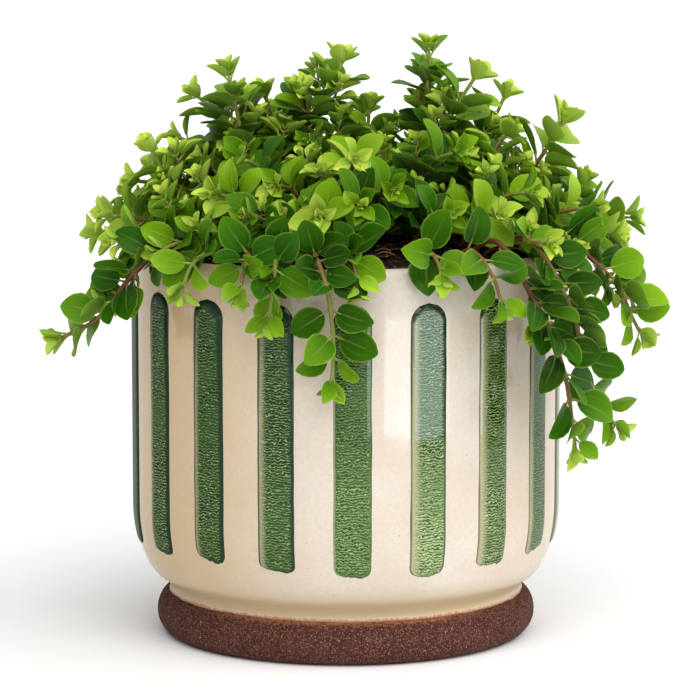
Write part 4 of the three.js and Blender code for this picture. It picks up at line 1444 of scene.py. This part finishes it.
def add_blade(bm, leaf, stem_id, item):
    """Adds one leaf blade: its outline, cup, fold and curl come from its age and its own draws."""
    size = leaf["size"]
    young = size <= YOUNG_SIZE
    long = LEAF_LENGTH * size
    wide = long * (YOUNG_WIDTH if young else LEAF_WIDTH)
    wide *= draw_between((0.9, 1.08), stem_id, item, 70)
    stalk = LEAF_STALK * long + STEM_RADIUS
    wedge, round_end = (0.8, 0.9) if young else (0.6, 0.72)
    peak = wedge / (wedge + round_end)
    widest = peak**wedge * (1 - peak) ** round_end
    youth = max(0, 1 - size)
    fold = 0.18 + 0.78 * youth + 0.28 * draw(stem_id, item, 71)
    roll = 0.3 * (1 - youth) * draw(stem_id, item, 72)
    curl = (0.95 - 1.2 * youth) * (draw(stem_id, item, 73) - 0.12)
    twist = 0.5 * (draw(stem_id, item, 74) - 0.5)
    wave = 0.035 * long * draw(stem_id, item, 75)
    phase = 2 * math.pi * draw(stem_id, item, 76)
    thick = 0.42 + 0.2 * size
    tilt = leaf.get("tilt", 0.7) * (draw(stem_id, item, 79) - 0.5)
    level = cross(leaf["normal"], leaf["along"])
    side = swung(level, leaf["normal"], tilt)
    normal = cross(leaf["along"], side)

    def place(co):
        across, reach, depth = co
        half = 0.5 * wide * reach**wedge * max(0, 1 - reach) ** round_end / widest
        x = across * half
        bend = curl * reach
        chord = math.sin(bend) / bend if abs(bend) > NEAR else 1
        ahead = stalk - 0.05 * long + 1.05 * long * chord * reach
        lift = -long * reach * (bend / 2)
        lift += fold * abs(x) - roll * half * abs(across) ** 3 * 0.5
        lift += wave * across * abs(across) * math.sin(7 * reach + phase)
        lift += depth * thick * (1 - 0.4 * abs(across)) * min(1, 6 * reach * (1.02 - reach))
        cos, sin = math.cos(twist * reach), math.sin(twist * reach)
        x, lift = x * cos - lift * sin, lift * cos + x * sin
        aside = add(scale(side, x), scale(normal, lift))
        return add(leaf["base"], add(scale(leaf["along"], ahead), aside))

    chance = draw(stem_id, item, 77)
    wrap(bm, template(blade_template), place, lambda co: leaf["tone"] + 0.16 * (0.5 - co.y), chance)


def add_leafstalk(bm, leaf):
    """Adds the short stalk of a leaf, from inside its stem to under its blade."""
    long = LEAF_LENGTH * leaf["size"]
    stalk = LEAF_STALK * long + STEM_RADIUS
    reach = [0, 0.4 * stalk, 0.8 * stalk, stalk + 0.1 * long]
    points = []
    for far, drop in zip(reach, [0, 0.12, 0.1, 0.22]):
        place = add(scale(leaf["along"], far), scale(leaf["normal"], -drop))
        points.append(add(leaf["base"], place))
    thick = 0.3 + 0.14 * leaf["size"]
    radii = [thick * part for part in (1.25, 1, 0.9, 0.5)]
    add_strand(bm, points, radii, lambda part: 0.4 * leaf["tone"])


def leaf_tone(age, stem_id, item, pale):
    """How old a leaf looks, from 0 for one that has just opened."""
    tone = LEAF_AGES.get(age, OLD_AGE) + 0.34 * (draw(stem_id, item, 78) - 0.35) - pale
    return min(1, max(0, tone))


def add_stem(bm, curve, stem_id, tip_radius, foot_radius):
    """Adds a stem's tube, a little swollen at each joint. Its tone browns toward its foot."""
    keep = [curve[0]]
    walked = [0]
    run = 0
    for one, other in zip(curve, curve[1:]):
        run += distance(other, one)
        if run - walked[-1] > STRAND_STEP or other == curve[-1]:
            keep.append(other)
            walked.append(run)
    swollen = [stop - TIP_BACK for stop in LEAF_SITES + BARE_JOINTS]
    radii = []
    for far in walked:
        part = min(1, far / STEM_TAPER)
        swell = STEM_SWELL * math.exp(-min(abs(far - stop) for stop in swollen) ** 2)
        radii.append((tip_radius + (foot_radius - tip_radius) * part) * (1 + swell))
    red = draw(stem_id, 3, 80) < 0.6
    start, end = (0.48, 0.88) if red else (0.18, 0.55)

    def tone(part):
        return start + (end - start) * min(1, part * walked[-1] / STEM_BROWNING)

    add_strand(bm, keep, radii, tone)


def paleness(stem):
    """How much younger a stem's leaves look: over the crown, out at both sides, and by chance."""
    number, x = stem["id"], stem["tip"][0]
    pale = PALE_CROWN if number < CROWN_STEMS else PALE_STEMS.get(number, 0)
    pale += 0.24 * ramp(-x, 40, 85) + 0.24 * ramp(x, 35, 80)
    return pale + 0.16 * (draw(number, 5, 81) - 0.5)


def dressed_stem(stem):
    """The tubes and the blades of one stem, as two meshes."""
    number, pale = stem["id"], paleness(stem)
    tubes, blades = bmesh.new(), bmesh.new()
    add_stem(tubes, stem["curve"], number, STEM_TIP_RADIUS, STEM_RADIUS)
    groups = [(number, stem["leaves"])]
    for shoot in stem["shoots"]:
        add_stem(tubes, shoot["curve"], shoot["id"], *SHOOT_RADII)
        groups.append((shoot["id"], shoot["leaves"]))
    for group_id, leaves in groups:
        for item, leaf in enumerate(leaves):
            leaf["tone"] = leaf_tone(leaf["age"], group_id, item, pale)
            add_leafstalk(tubes, leaf)
            add_blade(blades, leaf, group_id, item)
    return tubes, blades


# ---------- studio ----------

# Places in metres, and angles that say how broad a light is
FLOOR_REACH = 40
CAMERA_AIM = (0.0015, 0, 0.0995)
LIGHTS_AIM = (0, 0, 0.1)
KEY_PLACE, KEY_ANGLE = (0.14, -0.75, 0.88), math.radians(60)
SIDE_PLACE, SIDE_ANGLE = (0.9, -0.1, 0.42), math.radians(50)
STRIP_PLACE, STRIP_AIM = (0.29, -0.41, 0.04), (0.02, -0.07, 0.098)
STRIP_SIZE = (0.3, 0.064)
LIT_SIDE = (0.8, -0.3, 0.5)  # toward the brightest part of the surround


def surround(settings):
    """A plain white surround, brighter toward the front, the right and the top."""
    world = bpy.data.worlds.new("surround")
    world.use_nodes = True
    world.node_tree.nodes.clear()
    way = add_node(world, "TexCoord", output="Generated")
    toward = {"operation": "DOT_PRODUCT"}
    facing = add_node(world, "VectorMath", {0: way, 1: LIT_SIDE}, "Value", **toward)
    ends = {3: settings.surround - settings.slope, 4: settings.surround + settings.slope}
    strength = add_node(world, "MapRange", {0: facing, 1: -1.0, 2: 1.0, **ends})
    light = add_node(world, "Background", {"Color": linear("#ffffff"), "Strength": strength})
    add_node(world, "OutputWorld", {"Surface": light})
    return world


def studio_light(name, kind, place, target, strength):
    """A lamp that faces a target and isn't seen itself."""
    lamp = bpy.data.lights.new(name, kind)
    lamp.energy = strength
    light = bpy.data.objects.new(name, lamp)
    light.location = place
    light.rotation_euler = (Vector(target) - Vector(place)).to_track_quat("-Z", "Y").to_euler()
    light.visible_camera = False
    bpy.context.scene.collection.objects.link(light)
    return light


# ---------- operators ----------


class PEPEROMIA_OT_glazed_body(Operator):
    """Spin the glazed wall of the pot, from its bowl over the lip to the neck"""

    bl_idname = "peperomia.glazed_body"
    bl_label = "Glazed Body"

    def execute(self, context):
        material = clear_glaze(context.scene.peperomia_pot)
        finished("pot_body", glazed_body(), [material], "glaze", ["pot"])
        return {"FINISHED"}


class PEPEROMIA_OT_stripes(Operator):
    """Lay the raised, wrinkled stripes round the pot"""

    bl_idname = "peperomia.stripes"
    bl_label = "Stripes"

    def execute(self, context):
        material = stripe_glaze(context.scene.peperomia_stripes)
        for number in range(STRIPES):
            name = f"pot_stripe_{number + 1:02d}"
            finished(name, stripe(number), [material], "stripe_glaze", ["pot"])
        return {"FINISHED"}


class PEPEROMIA_OT_foot(Operator):
    """Spin the bare stoneware foot of the pot"""

    bl_idname = "peperomia.foot"
    bl_label = "Foot"

    def execute(self, context):
        material = stoneware(context.scene.peperomia_pot)
        finished("pot_foot", foot(), [material], "stoneware", ["pot"])
        return {"FINISHED"}


class PEPEROMIA_OT_soil(Operator):
    """Fill the pot with soil and scatter crumbs, bark and fibres on it"""

    bl_idname = "peperomia.soil"
    bl_label = "Soil"

    def execute(self, context):
        settings = context.scene.peperomia_soil
        finished("soil_bed", soil_bed(), [earth(settings)], "soil", ["soil"])
        finished("soil_bits", soil_bits(settings), [loose_bits(settings)], "soil", ["soil"])
        return {"FINISHED"}


class PEPEROMIA_OT_stems(Operator):
    """Grow every leafy stem over its solid, with its tips, lower leaves and side shoots"""

    bl_idname = "peperomia.stems"
    bl_label = "Leafy Stems"

    def execute(self, context):
        settings = context.scene.peperomia_plant
        skin = stem_skin(settings)
        sides = [leaf_surface(settings, False), leaf_surface(settings, True)]
        for stem in grow_plant(settings):
            number = stem["id"] + 1
            tubes, blades = dressed_stem(stem)
            solid = f"leafy_stem_{number:02d}"
            finished(f"stem_{number:02d}", tubes, [skin], "stem", [solid])
            finished(f"leaves_{number:02d}", blades, sides, "leaf", [solid])
        return {"FINISHED"}


class PEPEROMIA_OT_stage(Operator):
    """Set the pale floor, the lights and the camera"""

    bl_idname = "peperomia.stage"
    bl_label = "Stage"

    def execute(self, context):
        settings = context.scene.peperomia_stage
        bm = bmesh.new()
        bmesh.ops.create_grid(bm, x_segments=1, y_segments=1, size=FLOOR_REACH / MM)
        finished("floor", bm, [floor_paint(settings)])
        key = studio_light("key_light", "SUN", KEY_PLACE, LIGHTS_AIM, settings.key)
        key.data.angle = KEY_ANGLE
        side = studio_light("side_light", "SUN", SIDE_PLACE, LIGHTS_AIM, settings.side)
        side.data.angle = SIDE_ANGLE
        strip = studio_light("low_strip", "AREA", STRIP_PLACE, STRIP_AIM, settings.strip)
        strip.data.shape = "RECTANGLE"
        strip.data.size, strip.data.size_y = STRIP_SIZE
        strip.data.color = linear("#dff0ff")[:3]
        strip.visible_diffuse = False
        context.scene.world = surround(settings)
        context.scene.view_settings.view_transform = "Standard"
        camera = bpy.data.cameras.new("camera")
        camera.lens = settings.lens
        camera.clip_end = 100
        camera_object = bpy.data.objects.new("camera", camera)
        back = Vector((0, -math.cos(settings.pitch), math.sin(settings.pitch)))
        camera_object.location = Vector(CAMERA_AIM) + back * settings.distance
        camera_object.rotation_euler = (math.pi / 2 - settings.pitch, 0, 0)
        context.scene.collection.objects.link(camera_object)
        context.scene.camera = camera_object
        return {"FINISHED"}


OPERATORS = [
    PEPEROMIA_OT_glazed_body,
    PEPEROMIA_OT_stripes,
    PEPEROMIA_OT_foot,
    PEPEROMIA_OT_soil,
    PEPEROMIA_OT_stems,
    PEPEROMIA_OT_stage,
]

SETTINGS = {
    "peperomia_pot": PotSettings,
    "peperomia_stripes": StripeSettings,
    "peperomia_soil": SoilSettings,
    "peperomia_plant": PlantSettings,
    "peperomia_stage": StageSettings,
}


class PEPEROMIA_PT_sidebar(Panel):
    """Settings and steps of the potted peperomia"""

    bl_idname = "PEPEROMIA_PT_sidebar"
    bl_label = "Potted Peperomia"
    bl_space_type = "VIEW_3D"
    bl_region_type = "UI"
    bl_category = "Peperomia"

    def draw(self, context):
        for name, group in SETTINGS.items():
            box = self.layout.box()
            for setting in group.__annotations__:
                box.prop(getattr(context.scene, name), setting)
        for operator in OPERATORS:
            self.layout.operator(operator.bl_idname)


def register():
    for group in SETTINGS.values():
        bpy.utils.register_class(group)
    for name, group in SETTINGS.items():
        setattr(bpy.types.Scene, name, PointerProperty(type=group))
    for kind in [*OPERATORS, PEPEROMIA_PT_sidebar]:
        bpy.utils.register_class(kind)


def unregister():
    for kind in [PEPEROMIA_PT_sidebar, *reversed(OPERATORS)]:
        bpy.utils.unregister_class(kind)
    for name, group in SETTINGS.items():
        delattr(bpy.types.Scene, name)
        bpy.utils.unregister_class(group)


def main():
    register()
    for operator in OPERATORS:
        getattr(bpy.ops.peperomia, operator.bl_idname.split(".")[1])()


if __name__ == "__main__":
    main()
